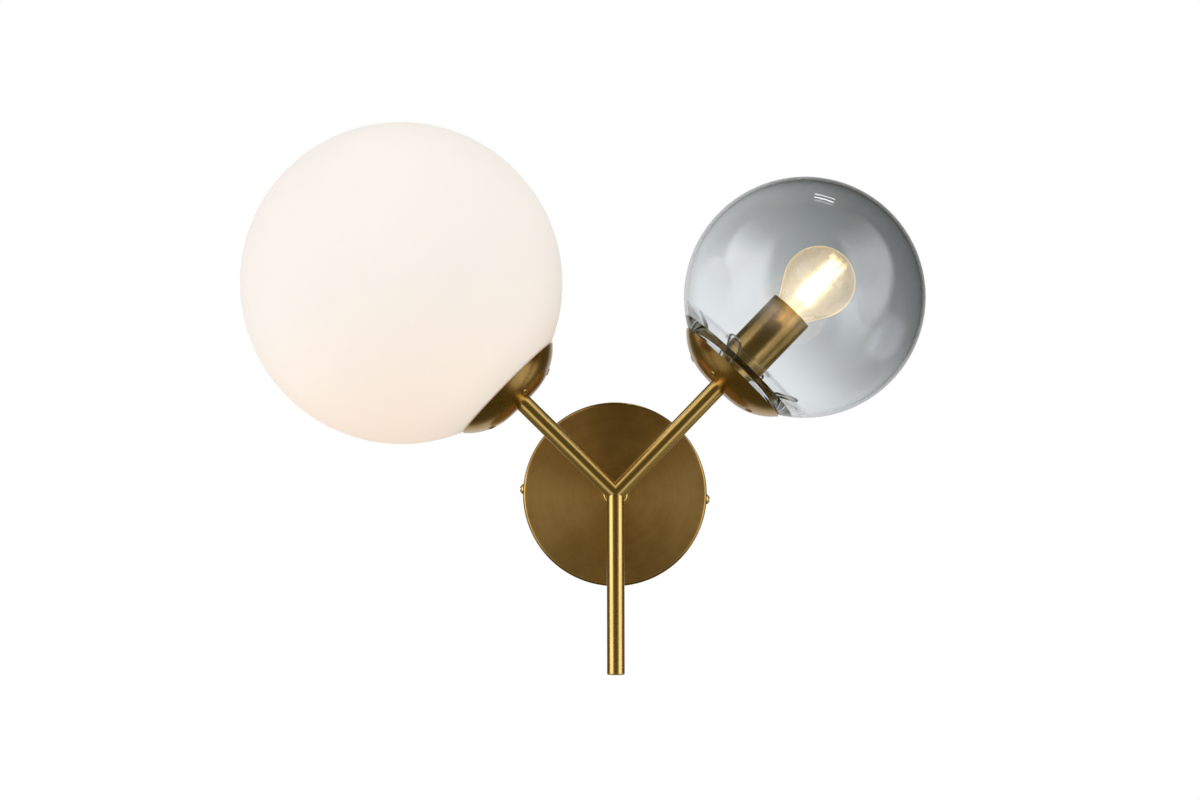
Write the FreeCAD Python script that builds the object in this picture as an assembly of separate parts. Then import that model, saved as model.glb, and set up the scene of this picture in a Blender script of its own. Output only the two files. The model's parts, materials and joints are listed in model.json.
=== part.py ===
import FreeCAD, Part
import math
import os
from FreeCAD import Placement, Rotation, Vector

# Double arm wall sconce: a round wall plate, a Y of brass tube and two glass globes.
# Millimetres. The origin is the centre of the wall plate, on the wall. +X is to the right and +Z is up.
# The wall is on the +Y side, so the lamp stands out towards -Y.

# Canopy, a shallow drawn cup that covers the bracket
canopy_dia = 120.0
canopy_depth = 25.0
canopy_wall = 1.2
canopy_edge_radius = 2.0

# Wall bracket, a strap with an ear bent up at each end
bracket_width = 28.0
bracket_thick = 2.0
bracket_corner_gap = 1.0
ear_gap = 2.3
ear_width = 18.0
ear_height = 17.0
ear_corner_radius = 4.0
bend_outer_radius = 1.5
slot_spacing = 70.0
slot_length = 12.0
slot_width = 5.0
cable_hole_dia = 16.0

# Domed side screws; the canopy sits turned by a few degrees on the wall
side_screw_dia = 4.0
side_screw_length = 9.0
side_screw_height = 12.5
side_screw_turn_deg = 3.35
screw_head_dia = 7.0
screw_head_height = 2.4
screw_slot_width = 0.9
screw_slot_depth = 0.8

# Earth screw on the strap
earth_screw_x = -20.0
earth_screw_dia = 4.0
earth_head_dia = 8.0
earth_head_height = 2.4

# Terminal block on the strap, one pole above the other
block_x = 19.0
block_length = 16.0
block_height = 12.0
block_end_margin = 4.0
pole_pitch = 9.0
sleeve_dia = 5.6
sleeve_bore = 4.2
sleeve_length = 13.0
clamp_screw_dia = 3.0
clamp_screw_inset = 4.5
block_screw_dia = 2.5
block_screw_head_dia = 5.0
block_screw_head_height = 1.6

# Y of tubes; the arms' lengths run from the junction to the back of the cups
arm_plane = 110.0
tube_dia = 11.0
tube_wall = 1.5
left_arm_length = 80.1
left_arm_rise_deg = 44.6
right_arm_length = 90.9
right_arm_rise_deg = 45.9
drop_length = 112.2
plug_thick = 1.5
plug_shank_length = 6.0
plug_edge_radius = 0.8
lead_window_dia = 7.0

# Stem between the canopy and the tubes, with a thinner threaded end inside the canopy
stem_dia = 16.0
stem_bore = 8.0
stem_setback = 2.5
stem_edge_radius = 1.5
stem_thread_dia = 10.0
stem_thread_length = 9.0
stem_washer_dia = 15.0
stem_washer_thick = 1.0
stem_nut_flats = 14.0
stem_nut_thick = 3.0
bushing_flange_dia = 12.0
bushing_flange_thick = 1.5
bushing_bore = 6.0
bushing_length = 5.0

# Spun cup at the end of each arm
cup_rim_dia = 79.0
cup_depth = 13.6
cup_flat_dia = 20.0
cup_wall = 1.0
cup_rim_round = 0.35

# Threaded nipple, lock washer and nut inside the cup
nipple_bore = 5.6
nipple_grip = 12.0
cup_washer_dia = 15.0
cup_washer_thick = 0.8
cup_nut_flats = 13.0
cup_nut_thick = 4.0

# Hollow rivets and wire clips that hold the globe
clip_count = 4
left_clip_turn_deg = 12.0
right_clip_turn_deg = -18.0
rivet_circle_dia = 50.0
rivet_barrel_dia = 3.0
rivet_bore = 2.0
rivet_head_dia = 4.8
rivet_head_thick = 0.5
rivet_foot_dia = 6.0
clip_wire_dia = 1.2
clip_foot_reach = 2.5
clip_loop_width = 8.8
clip_tip_radius = 42.8
clip_tip_height = 14.5

# Glass globes with a short lipless neck
opal_globe_dia = 200.0
smoked_globe_dia = 150.0
globe_wall = 2.6
neck_outer_dia = 69.0
neck_inner_dia = 62.0
neck_shelf_height = 7.5
gasket_margin = 0.4

# Lampholder and the brass sleeve over it
sleeve_cover_dia = 29.0
sleeve_cover_length = 61.0
sleeve_cover_wall = 0.8
sleeve_cover_round = 1.5
base_height = 12.0
base_floor = 3.0
base_wall = 1.8
body_height = 35.5
socket_depth = 18.5
shell_length = 18.0
shell_wall = 0.5
shell_hole_dia = 8.0
contact_width = 3.0
contact_thick = 0.4
contact_rise = 2.2
terminal_spread = 11.0
terminal_depth = 7.0

# Bulb with a small screw cap and a round clear glass
bulb_length = 76.3
bulb_dia = 45.0
bulb_glass_wall = 0.7
bulb_neck_dia = 15.8
cap_dia = 13.9
cap_wall = 0.45
cap_skirt_dia = 17.2
cap_thread_start = 3.7
cap_thread_end = 16.5
cap_length = 23.0
end_contact_dia = 4.8
end_contact_thick = 1.5
stem_glass_dia = 3.0
filament_count = 4
filament_length = 32.0
filament_dia = 1.6
filament_circle_dia = 7.2
filament_wire_dia = 0.7

# Leads
lead_dia = 1.8
lead_pitch = 2.1
lead_stack = 2.0
lead_bend_radius = 5.0
lead_turn_radius = 4.0
junction_bend_radius = 6.0

# Clearances
thread_fit = 0.05
lamp_thread_fit = 0.08
hole_clear = 0.4
seat_gap = 0.1
glass_gap = 0.45
rim_gap = 0.3
sleeve_gap = 0.5

# Derived places
canopy_radius = canopy_dia / 2
canopy_inside = canopy_radius - canopy_wall
ear_reach = canopy_inside - ear_gap
pole_level = bracket_thick + block_height / 2
tube_radius = tube_dia / 2
tube_bore_radius = tube_radius - tube_wall
nipple_radius = tube_bore_radius - thread_fit
stem_front = arm_plane - stem_setback
stem_thread_end = canopy_depth - stem_thread_length
canopy_inner_face = canopy_depth - canopy_wall

cup_rim_radius = cup_rim_dia / 2
cup_flat_radius = cup_flat_dia / 2
bowl_radius = ((cup_rim_radius - cup_flat_radius) ** 2 + cup_depth ** 2) / (2 * cup_depth)
bowl_centre = bowl_radius - cup_depth
bowl_inner_radius = bowl_radius - cup_wall
cup_rim_inside = cup_flat_radius + math.sqrt(bowl_inner_radius ** 2 - bowl_centre ** 2)
cup_floor = cup_wall - cup_depth
washer_top = cup_floor + cup_washer_thick
nut_top = washer_top + cup_nut_thick
base_bottom = nut_top + sleeve_cover_wall
base_top = base_bottom + base_height
body_top = base_top + body_height
socket_floor = body_top - socket_depth
neck_outer_radius = neck_outer_dia / 2
neck_inner_radius = neck_inner_dia / 2
neck_end = bowl_centre - math.sqrt((bowl_inner_radius - glass_gap) ** 2
                                   - (neck_outer_radius - cup_flat_radius) ** 2)
rivet_radius = rivet_circle_dia / 2

cover_radius = sleeve_cover_dia / 2
body_radius = cover_radius - sleeve_cover_wall - sleeve_gap
cap_radius = cap_dia / 2
shell_inner_radius = cap_radius + lamp_thread_fit
shell_outer_radius = shell_inner_radius + shell_wall
bulb_start = socket_floor + contact_rise + rim_gap
bulb_tip = bulb_start + bulb_length
bulb_radius = bulb_dia / 2
bulb_centre = bulb_tip - bulb_radius
cap_end = bulb_start + cap_length
glass_bottom = bulb_start + cap_thread_end + 2 * cap_wall + (cap_skirt_dia - cap_dia) / 2
filament_bottom = bulb_centre - filament_length / 2


def wall(x, y, out):
    """A point given by its place on the wall and its distance out from it."""
    return Vector(x, -out, y)


def heading(degrees):
    """A direction in the plane of the tubes, turned up from +X."""
    return Vector(math.cos(math.radians(degrees)), 0, math.sin(math.radians(degrees)))


WALL = Placement(Vector(0, 0, 0), Rotation(Vector(1, 0, 0), 90))
JUNCTION = wall(0, 0, arm_plane)
LEFT_HEADING = 180 - left_arm_rise_deg
RIGHT_HEADING = right_arm_rise_deg
DROP_HEADING = -90.0


def placed(shape, placement):
    """A copy of the shape, moved by the placement."""
    moved = shape.copy()
    moved.Placement = placement.multiply(moved.Placement)
    return moved


def turned(shape, degrees):
    """A copy of the shape, turned about the Z axis."""
    return placed(shape, Placement(Vector(0, 0, 0), Rotation(Vector(0, 0, 1), degrees)))


def aimed(shape, base, direction):
    """A copy of the shape with its Z axis moved to the base and pointed along the direction."""
    return placed(shape, Placement(base, Rotation(Vector(0, 0, 1), direction)))


def cylinder(radius, low, high):
    """A cylinder about the Z axis between two heights."""
    return Part.makeCylinder(radius, high - low, Vector(0, 0, low))


def ring(outer, inner, low, high):
    """A ring or tube about the Z axis between two heights."""
    return cylinder(outer, low, high).cut(cylinder(inner, low - 1, high + 1))


def block(width, depth, low, high):
    """A box centred on the Z axis between two heights."""
    return Part.makeBox(width, depth, high - low, Vector(-width / 2, -depth / 2, low))


def rounded(shape, radius, wanted):
    """The shape with a fillet on each edge that the test picks."""
    return shape.makeFillet(radius, [edge for edge in shape.Edges if wanted(edge)])


class Outline:
    """An outline in the plane of radius and height, drawn edge by edge and spun about the Z axis."""

    def __init__(self, radius, height):
        self.first = Vector(radius, 0, height)
        self.here = self.first
        self.edges = []

    def to(self, radius, height):
        """A straight edge to a point."""
        end = Vector(radius, 0, height)
        self.edges.append(Part.LineSegment(self.here, end).toShape())
        self.here = end
        return self

    def around(self, centre_radius, centre_height, radius, height):
        """An arc of under a half circle about a centre, to a point."""
        centre = Vector(centre_radius, 0, centre_height)
        end = Vector(radius, 0, height)
        half_way = (self.here - centre) + (end - centre)
        middle = centre + half_way.normalize() * (self.here - centre).Length
        self.edges.append(Part.Arc(self.here, middle, end).toShape())
        self.here = end
        return self

    def spun(self):
        """The solid that the closed outline sweeps in a full turn."""
        self.to(self.first.x, self.first.z)
        solid = Part.Face(Part.Wire(self.edges)).revolve(Vector(0, 0, 0), Vector(0, 0, 1), 360)
        if solid.Volume < 0:
            solid.reverse()
        return solid


def bent_rod(points, bends, radius):
    """A round rod along straight runs joined by tangent arcs, one bend radius for each inner point."""
    edges = []
    here = points[0]
    for before, corner, after, bend in zip(points, points[1:], points[2:], bends):
        inward = (corner - before).normalize()
        outward = (after - corner).normalize()
        half_turn = inward.getAngle(outward) / 2
        reach = bend * math.tan(half_turn)
        arc_start = corner - inward * reach
        arc_end = corner + outward * reach
        middle = corner + (outward - inward).normalize() * (bend / math.cos(half_turn) - bend)
        edges.append(Part.LineSegment(here, arc_start).toShape())
        edges.append(Part.Arc(arc_start, middle, arc_end).toShape())
        here = arc_end
    edges.append(Part.LineSegment(here, points[-1]).toShape())
    path = Part.Wire(edges)
    section = Part.Wire(Part.Circle(points[0], points[1] - points[0], radius).toShape())
    rod = path.makePipeShell([section], True, False)
    expected = path.Length * math.pi * radius ** 2
    print("rod of length %.1f, least bend %.1f, volume %.4f of its section times its length"
          % (path.Length, min(bends), rod.Volume / expected))
    return rod


def hexagon_nut(flats, bore_radius, low, high):
    """A hexagon nut with its corners turned down at both ends."""
    corner = flats / math.sqrt(3)
    points = [Vector(corner * math.cos(math.radians(60 * i)), corner * math.sin(math.radians(60 * i)), low)
              for i in range(7)]
    prism = Part.Face(Part.makePolygon(points)).extrude(Vector(0, 0, high - low))
    turned_down = (corner - flats / 2) * 0.5
    blank = Outline(0, low).to(flats / 2, low).to(corner, low + turned_down).to(corner, high - turned_down)
    blank = blank.to(flats / 2, high).to(0, high).spun()
    return prism.common(blank).cut(cylinder(bore_radius, low - 1, high + 1))


def lock_washer(outer, inner, low, high, teeth=12):
    """A flat washer with a toothed outer edge."""
    washer = ring(outer, inner, low, high)
    notch_depth = (outer - inner) * 0.4
    for i in range(teeth):
        notch = Part.makeBox(notch_depth + 1, notch_depth / 2, high - low + 2,
                             Vector(outer - notch_depth, -notch_depth / 4, low - 1))
        washer = washer.cut(turned(notch, 360 * i / teeth))
    return washer


def screw(shank_radius, length, head_radius, head_height, slot_width, slot_depth, gap):
    """A domed slotted screw that points down the Z axis, its seat at height 0."""
    tip = shank_radius * 0.25
    sphere_radius = (head_radius ** 2 + head_height ** 2) / (2 * head_height)
    shank = Outline(0, -length).to(shank_radius - tip, -length).to(shank_radius, tip - length)
    shank = shank.to(shank_radius, gap).to(head_radius, gap)
    shank = shank.around(0, gap + head_height - sphere_radius, 0, gap + head_height)
    slot = block(2 * head_radius, slot_width, gap + head_height - slot_depth, gap + head_height + 1)
    return shank.spun().cut(slot)


# Wall parts are drawn with the distance out from the wall as their Z

def side_heading(side):
    """The direction of the left (-1) or right (+1) side screw, out from the middle of the canopy."""
    turn = math.radians(side_screw_turn_deg)
    return Vector(side * math.cos(turn), -side * math.sin(turn), 0)


def make_canopy():
    """Shallow cup, open towards the wall, with a hole for the stem and two for the side screws."""
    inner_edge = canopy_edge_radius - canopy_wall
    hole_radius = stem_thread_dia / 2 + seat_gap
    corner = canopy_radius - canopy_edge_radius
    level = canopy_depth - canopy_edge_radius
    shell = Outline(canopy_radius, 0).to(canopy_radius, level)
    shell = shell.around(corner, level, corner, canopy_depth).to(hole_radius, canopy_depth)
    shell = shell.to(hole_radius, canopy_inner_face).to(corner, canopy_inner_face)
    shell = shell.around(corner, level, corner + inner_edge, level).to(canopy_inside, 0).spun()
    for side in (-1, 1):
        hole = cylinder(side_screw_dia / 2 + hole_clear, canopy_inside - ear_gap, canopy_radius + 1)
        shell = shell.cut(aimed(hole, Vector(0, 0, side_screw_height), side_heading(side)))
    return shell


def make_bracket():
    """Strap with two slots, a cable hole, tapped holes and an ear at each end."""
    strap = block(2 * ear_reach, bracket_width, 0, bracket_thick)
    strap = strap.common(cylinder(canopy_inside - bracket_corner_gap, 0, bracket_thick))
    ear = block(bracket_thick, ear_width, 0, ear_height)
    ear = rounded(ear, ear_corner_radius, lambda edge: edge.BoundBox.ZMin > ear_height - 0.01
                  and edge.BoundBox.XLength > bracket_thick / 2)
    for side in (-1, 1):
        middle = side * (ear_reach - bracket_thick / 2)
        strap = strap.fuse(placed(ear, Placement(Vector(middle, 0, 0), Rotation())))
    strap = strap.removeSplitter()
    strap = rounded(strap, bend_outer_radius, lambda edge: edge.BoundBox.ZMax < 0.01
                    and abs(abs(edge.CenterOfMass.x) - ear_reach) < 0.01)
    for side in (-1, 1):
        tapped = cylinder(side_screw_dia / 2 + thread_fit, ear_reach - 2 * bracket_thick, ear_reach + 1)
        strap = strap.cut(aimed(tapped, Vector(0, 0, side_screw_height), side_heading(side)))
        strap = strap.cut(slot_cutter(side * slot_spacing / 2))
    strap = strap.cut(cylinder(cable_hole_dia / 2, -1, bracket_thick + 1))
    for x, y, radius in ((earth_screw_x, 0, earth_screw_dia / 2),
                         (block_x, pole_pitch / 2, block_screw_dia / 2)):
        hole = cylinder(radius + thread_fit, -1, bracket_thick + 1)
        strap = strap.cut(placed(hole, Placement(Vector(x, y, 0), Rotation())))
    return strap


def slot_cutter(middle):
    """Solid of a mounting slot that runs along X about a point of the strap."""
    radius = slot_width / 2
    straight = slot_length / 2 - radius
    cutter = Part.makeBox(2 * straight, slot_width, bracket_thick + 2, Vector(middle - straight, -radius, -1))
    for end in (-straight, straight):
        round_end = cylinder(radius, -1, bracket_thick + 1)
        cutter = cutter.fuse(placed(round_end, Placement(Vector(middle + end, 0, 0), Rotation())))
    return cutter


def make_side_screw(side):
    """Domed screw through the canopy's rim into an ear of the bracket."""
    part = screw(side_screw_dia / 2, side_screw_length, screw_head_dia / 2, screw_head_height,
                 screw_slot_width, screw_slot_depth, seat_gap)
    direction = side_heading(side)
    return aimed(part, Vector(0, 0, side_screw_height) + direction * canopy_radius, direction)


def make_earth_screw():
    """Screw that clamps the end of the earth lead on the strap."""
    under_head = lead_dia + 2 * seat_gap
    part = screw(earth_screw_dia / 2, under_head + bracket_thick, earth_head_dia / 2, earth_head_height,
                 screw_slot_width, screw_slot_depth, 0)
    return placed(part, Placement(Vector(earth_screw_x, 0, bracket_thick + under_head), Rotation()))


def pole_places():
    """Heights on the wall of the three poles: neutral, earth, live."""
    return [-pole_pitch, 0.0, pole_pitch]


def along_x(shape, height):
    """A shape drawn about the Z axis, laid along X through the middle of the block at a pole's height."""
    return aimed(shape, Vector(block_x, height, pole_level), Vector(1, 0, 0))


def make_block_body():
    """Moulded block with a bore for each sleeve, screw towers and a hole for its fixing screw."""
    depth = 2 * pole_pitch + sleeve_dia + block_end_margin
    body = block(block_length, depth, bracket_thick, bracket_thick + block_height)
    groove = block(block_length + 2, pole_pitch - sleeve_dia, pole_level + sleeve_dia / 2,
                   bracket_thick + block_height + 1)
    for side in (-1, 1):
        body = body.cut(placed(groove, Placement(Vector(0, side * pole_pitch / 2, 0), Rotation())))
    body = placed(body, Placement(Vector(block_x, 0, 0), Rotation()))
    for height in pole_places():
        body = body.cut(along_x(cylinder(sleeve_dia / 2 + thread_fit, -block_length, block_length), height))
        for end in (-1, 1):
            well = cylinder(clamp_screw_dia / 2 + seat_gap, pole_level, bracket_thick + block_height + 1)
            body = body.cut(placed(well, Placement(clamp_place(end, height), Rotation())))
    seat = pole_level + sleeve_dia / 2
    fixing = cylinder(block_screw_dia / 2 + seat_gap, 0, seat)
    fixing = fixing.fuse(cylinder(block_screw_head_dia / 2 + seat_gap, seat, block_height + bracket_thick + 1))
    return body.cut(placed(fixing, Placement(Vector(block_x, pole_pitch / 2, 0), Rotation())))


def clamp_place(end, height):
    """Foot of a clamp screw's axis, at the near (-1) or far (+1) end of a pole."""
    return Vector(block_x + end * (block_length / 2 - clamp_screw_inset), height, 0)


def make_sleeves():
    """One brass sleeve for each pole, with two tapped holes."""
    sleeves = []
    for height in pole_places():
        sleeve = along_x(ring(sleeve_dia / 2, sleeve_bore / 2, -sleeve_length / 2, sleeve_length / 2), height)
        for end in (-1, 1):
            tapped = cylinder(clamp_screw_dia / 2 + thread_fit, pole_level, pole_level + sleeve_dia)
            sleeve = sleeve.cut(placed(tapped, Placement(clamp_place(end, height), Rotation())))
        sleeves.append(sleeve)
    return Part.makeCompound(sleeves)


def make_clamp_screws():
    """Headless slotted screws that press the leads in the sleeves."""
    low = pole_level + sleeve_bore / 2
    high = bracket_thick + block_height - screw_slot_depth
    slot = block(clamp_screw_dia * 2, screw_slot_width, high - screw_slot_depth, high + 1)
    grub = cylinder(clamp_screw_dia / 2, low, high).cut(slot)
    return Part.makeCompound([placed(grub, Placement(clamp_place(end, height), Rotation()))
                              for height in pole_places() for end in (-1, 1)])


def make_block_screw():
    """Small screw between two poles that holds the block on the strap."""
    seat = pole_level + sleeve_dia / 2
    part = screw(block_screw_dia / 2, seat, block_screw_head_dia / 2, block_screw_head_height,
                 screw_slot_width, screw_slot_depth, 0)
    return placed(part, Placement(Vector(block_x, pole_pitch / 2, seat), Rotation()))


# Y of tubes

def branch(degrees, length, first_mitre, second_mitre, bore_radius):
    """A tube from the junction, cut on the two planes where it meets its neighbours."""
    direction = heading(degrees)
    start = JUNCTION - direction * tube_dia
    part = Part.makeCylinder(tube_radius, length + tube_dia, start, direction)
    if bore_radius:
        part = part.cut(Part.makeCylinder(bore_radius, length + 2 * tube_dia, start, direction))
    far = 3 * length
    middle = heading((first_mitre + second_mitre) / 2)
    corners = [JUNCTION, JUNCTION + heading(first_mitre) * far, JUNCTION + middle * far,
               JUNCTION + heading(second_mitre) * far, JUNCTION]
    wedge = Part.Face(Part.makePolygon([corner + Vector(0, tube_dia, 0) for corner in corners]))
    return part.common(wedge.extrude(Vector(0, -2 * tube_dia, 0)))


def make_branch(degrees, length, neighbours, bore_radius=tube_bore_radius):
    """A branch of the Y between its two neighbours' headings."""
    before, after = neighbours
    return branch(degrees, length, (before + degrees) / 2, (degrees + after) / 2, bore_radius)


def branches(length, bore_radius):
    """All three branches with one length, as they meet at the junction."""
    return [make_branch(RIGHT_HEADING, length, (DROP_HEADING, LEFT_HEADING), bore_radius),
            make_branch(LEFT_HEADING, length, (RIGHT_HEADING, DROP_HEADING + 360), bore_radius),
            make_branch(DROP_HEADING, length, (LEFT_HEADING - 360, RIGHT_HEADING), bore_radius)]


def with_window(tube):
    """The tube with the hole in its back through which the leads come in from the stem."""
    window = cylinder(lead_window_dia / 2, arm_plane - tube_dia, arm_plane)
    return tube.cut(placed(window, WALL))


def make_right_arm():
    """Arm that carries the smoked globe."""
    return with_window(make_branch(RIGHT_HEADING, right_arm_length, (DROP_HEADING, LEFT_HEADING)))


def make_left_arm():
    """Arm that carries the opal globe."""
    return with_window(make_branch(LEFT_HEADING, left_arm_length, (RIGHT_HEADING, DROP_HEADING + 360)))


def make_drop_tube():
    """Tube that hangs straight down from the junction."""
    return with_window(make_branch(DROP_HEADING, drop_length - plug_thick,
                                   (LEFT_HEADING - 360, RIGHT_HEADING)))


def make_drop_plug():
    """Turned plug that closes the drop tube."""
    edge = plug_edge_radius
    part = Outline(0, 0).to(tube_radius - edge, 0)
    part = part.around(tube_radius - edge, edge, tube_radius, edge).to(tube_radius, plug_thick)
    part = part.to(tube_bore_radius - thread_fit, plug_thick)
    part = part.to(tube_bore_radius - thread_fit, plug_thick + plug_shank_length)
    part = part.to(0, plug_thick + plug_shank_length).spun()
    return placed(part, Placement(JUNCTION + heading(DROP_HEADING) * drop_length, Rotation()))


# Stem and what holds it in the canopy

def make_stem():
    """Round stem with a threaded end, cut to the tubes' shape where they are brazed to it."""
    radius = stem_dia / 2
    edge = stem_edge_radius
    thread_radius = stem_thread_dia / 2
    part = Outline(stem_bore / 2, stem_thread_end).to(thread_radius, stem_thread_end)
    part = part.to(thread_radius, canopy_depth).to(radius, canopy_depth).to(radius, stem_front - edge)
    part = part.around(radius - edge, stem_front - edge, radius - edge, stem_front)
    part = placed(part.to(stem_bore / 2, stem_front).spun(), WALL)
    for solid_branch in branches(2 * stem_dia, 0):
        part = part.cut(solid_branch)
    return part


def make_stem_washer():
    """Toothed washer between the canopy and the lock nut."""
    return placed(lock_washer(stem_washer_dia / 2, stem_thread_dia / 2 + seat_gap,
                              canopy_inner_face - stem_washer_thick, canopy_inner_face), WALL)


def make_stem_nut():
    """Lock nut that pulls the stem against the canopy."""
    top = canopy_inner_face - stem_washer_thick
    return placed(hexagon_nut(stem_nut_flats, stem_thread_dia / 2 + thread_fit, top - stem_nut_thick, top), WALL)


def make_bushing():
    """Plastic bushing that keeps the leads off the stem's edge."""
    part = ring(bushing_flange_dia / 2, bushing_bore / 2, stem_thread_end - bushing_flange_thick, stem_thread_end)
    spigot = ring(stem_bore / 2 - seat_gap, bushing_bore / 2, stem_thread_end, stem_thread_end + bushing_length)
    return placed(part.fuse(spigot).removeSplitter(), WALL)


# Heads are drawn along +Z with the cup's rim at height 0

class Head:
    """One end of an arm: its place, and the values in which the two ends differ."""

    def __init__(self, name, globe_name, degrees, across_degrees, arm_length, globe_dia, clip_turn):
        self.name = name
        self.globe_name = globe_name
        self.along = heading(degrees)
        self.across = heading(across_degrees)
        self.globe_radius = globe_dia / 2
        self.clip_turn = clip_turn
        self.rim = JUNCTION + self.along * (arm_length + cup_depth)
        self.placement = Placement(self.rim, Rotation(self.across, Vector(0, -1, 0), self.along, "ZXY"))

    def place(self, shape):
        """The shape in its place on the lamp."""
        return placed(shape, self.placement)

    def point(self, x, y, z):
        """A point of the head's own frame in the lamp's frame."""
        return self.placement.multVec(Vector(x, y, z))


HEADS = [Head("left", "opal_globe", LEFT_HEADING, LEFT_HEADING + 90, left_arm_length,
              opal_globe_dia, left_clip_turn_deg),
         Head("right", "smoked_globe", RIGHT_HEADING, RIGHT_HEADING + 90, right_arm_length,
              smoked_globe_dia, right_clip_turn_deg)]


def bowl_height(radius, arc_radius):
    """Height of an arc of the bowl at a radius from the cup's axis."""
    return bowl_centre - math.sqrt(arc_radius ** 2 - (radius - cup_flat_radius) ** 2)


def bowl_inward(radius, arc_radius):
    """Direction square to the bowl at a radius, into the cup."""
    lean = math.asin((radius - cup_flat_radius) / arc_radius)
    return Vector(-math.sin(lean), 0, math.cos(lean))


def around_cup(shape, turn):
    """Copies of a shape at each clip's place round the cup."""
    return [turned(shape, turn + 360 * i / clip_count) for i in range(clip_count)]


def make_cup(turn):
    """Spun bowl with a flat back, a hole for the nipple and a hole for each rivet."""
    hole_radius = nipple_radius + seat_gap
    part = Outline(hole_radius, -cup_depth).to(cup_flat_radius, -cup_depth)
    part = part.around(cup_flat_radius, bowl_centre, cup_rim_radius, 0).to(cup_rim_inside, 0)
    part = part.around(cup_flat_radius, bowl_centre, cup_flat_radius, cup_floor).to(hole_radius, cup_floor)
    part = rounded(part.spun(), cup_rim_round, lambda edge: edge.BoundBox.ZMin > -0.01)
    outside = Vector(rivet_radius, 0, bowl_height(rivet_radius, bowl_radius))
    hole = aimed(cylinder(rivet_barrel_dia / 2 + thread_fit, -1, cup_wall + 1), outside,
                 bowl_inward(rivet_radius, bowl_radius))
    for cutter in around_cup(hole, turn):
        part = part.cut(cutter)
    return part


def make_rivets(turn):
    """Hollow rivets that clamp the feet of the wire clips to the bowl."""
    under_foot = cup_wall + clip_wire_dia + 3 * seat_gap
    bore = rivet_bore / 2
    barrel = rivet_barrel_dia / 2
    part = Outline(bore, -rivet_head_thick).to(rivet_head_dia / 2 - rivet_head_thick, -rivet_head_thick)
    part = part.to(rivet_head_dia / 2, 0).to(barrel, 0).to(barrel, under_foot)
    part = part.to(rivet_foot_dia / 2, under_foot).to(rivet_foot_dia / 2, under_foot + rivet_head_thick)
    part = part.to(bore, under_foot + rivet_head_thick).spun()
    outside = Vector(rivet_radius, 0, bowl_height(rivet_radius, bowl_radius))
    part = aimed(part, outside, bowl_inward(rivet_radius, bowl_radius))
    return Part.makeCompound(around_cup(part, turn))


def on_bowl(radius, sideways):
    """Centre of a clip's wire where it lies on the inside of the bowl."""
    foot = Vector(radius, 0, bowl_height(radius, bowl_inner_radius))
    foot = foot + bowl_inward(radius, bowl_inner_radius) * (clip_wire_dia / 2 + seat_gap)
    return foot + Vector(0, sideways, 0)


def make_clips(turn):
    """Wire clips: round a rivet, up inside the neck of the globe and out over its shelf."""
    wire = clip_wire_dia / 2
    foot_half = rivet_barrel_dia / 2 + wire + seat_gap
    half = clip_loop_width / 2
    neck = neck_inner_radius - 2 * seat_gap - clip_wire_dia
    elbow = neck_shelf_height + clip_wire_dia
    one_side = [on_bowl(rivet_radius - clip_foot_reach, seat_gap),
                on_bowl(rivet_radius - clip_foot_reach, foot_half),
                on_bowl(rivet_radius + clip_foot_reach, (foot_half + half) / 2 - wire),
                Vector(neck, half, elbow),
                Vector(clip_tip_radius, half, clip_tip_height)]
    other_side = [Vector(point.x, -point.y, point.z) for point in reversed(one_side)]
    corner_bend = foot_half * 0.7
    bends = [corner_bend, 2 * clip_wire_dia, 3 * clip_wire_dia, half * 0.9]
    return Part.makeCompound(around_cup(bent_rod(one_side + other_side, bends + bends[::-1], wire), turn))


def globe_centre(radius):
    """Height of a globe's centre, where its sphere clears the inner edge of the rim."""
    return math.sqrt((radius + rim_gap) ** 2 - cup_rim_inside ** 2)


def make_globe(radius):
    """Blown globe with a thick shelf round its opening and a short straight neck in the cup."""
    centre = globe_centre(radius)
    inside = radius - globe_wall
    neck_top = centre - math.sqrt(radius ** 2 - neck_outer_radius ** 2)
    shelf_radius = math.sqrt(inside ** 2 - (centre - neck_shelf_height) ** 2)
    part = Outline(neck_inner_radius, neck_end).to(neck_outer_radius, neck_end)
    part = part.to(neck_outer_radius, neck_top).around(0, centre, 0, centre + radius)
    part = part.to(0, centre + inside).around(0, centre, shelf_radius, neck_shelf_height)
    return part.to(neck_inner_radius, neck_shelf_height).spun()


def make_gasket():
    """Soft ring on the bowl that the neck of the globe stands on."""
    inner = neck_inner_radius + gasket_margin
    outer = neck_outer_radius - gasket_margin
    arc = bowl_inner_radius - seat_gap / 2
    part = Outline(inner, neck_end).to(outer, neck_end).to(outer, bowl_height(outer, arc))
    return part.around(cup_flat_radius, bowl_centre, inner, bowl_height(inner, arc)).spun()


def make_nipple():
    """Threaded tube that joins arm, cup and lampholder."""
    return ring(nipple_radius, nipple_bore / 2, -cup_depth - nipple_grip, base_bottom + base_floor)


def make_cup_washer():
    """Toothed washer on the floor of the cup."""
    return lock_washer(cup_washer_dia / 2, nipple_radius + seat_gap, cup_floor, washer_top)


def make_cup_nut():
    """Nut that holds the cup on the arm."""
    return hexagon_nut(cup_nut_flats, nipple_radius + thread_fit, washer_top, nut_top)


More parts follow.
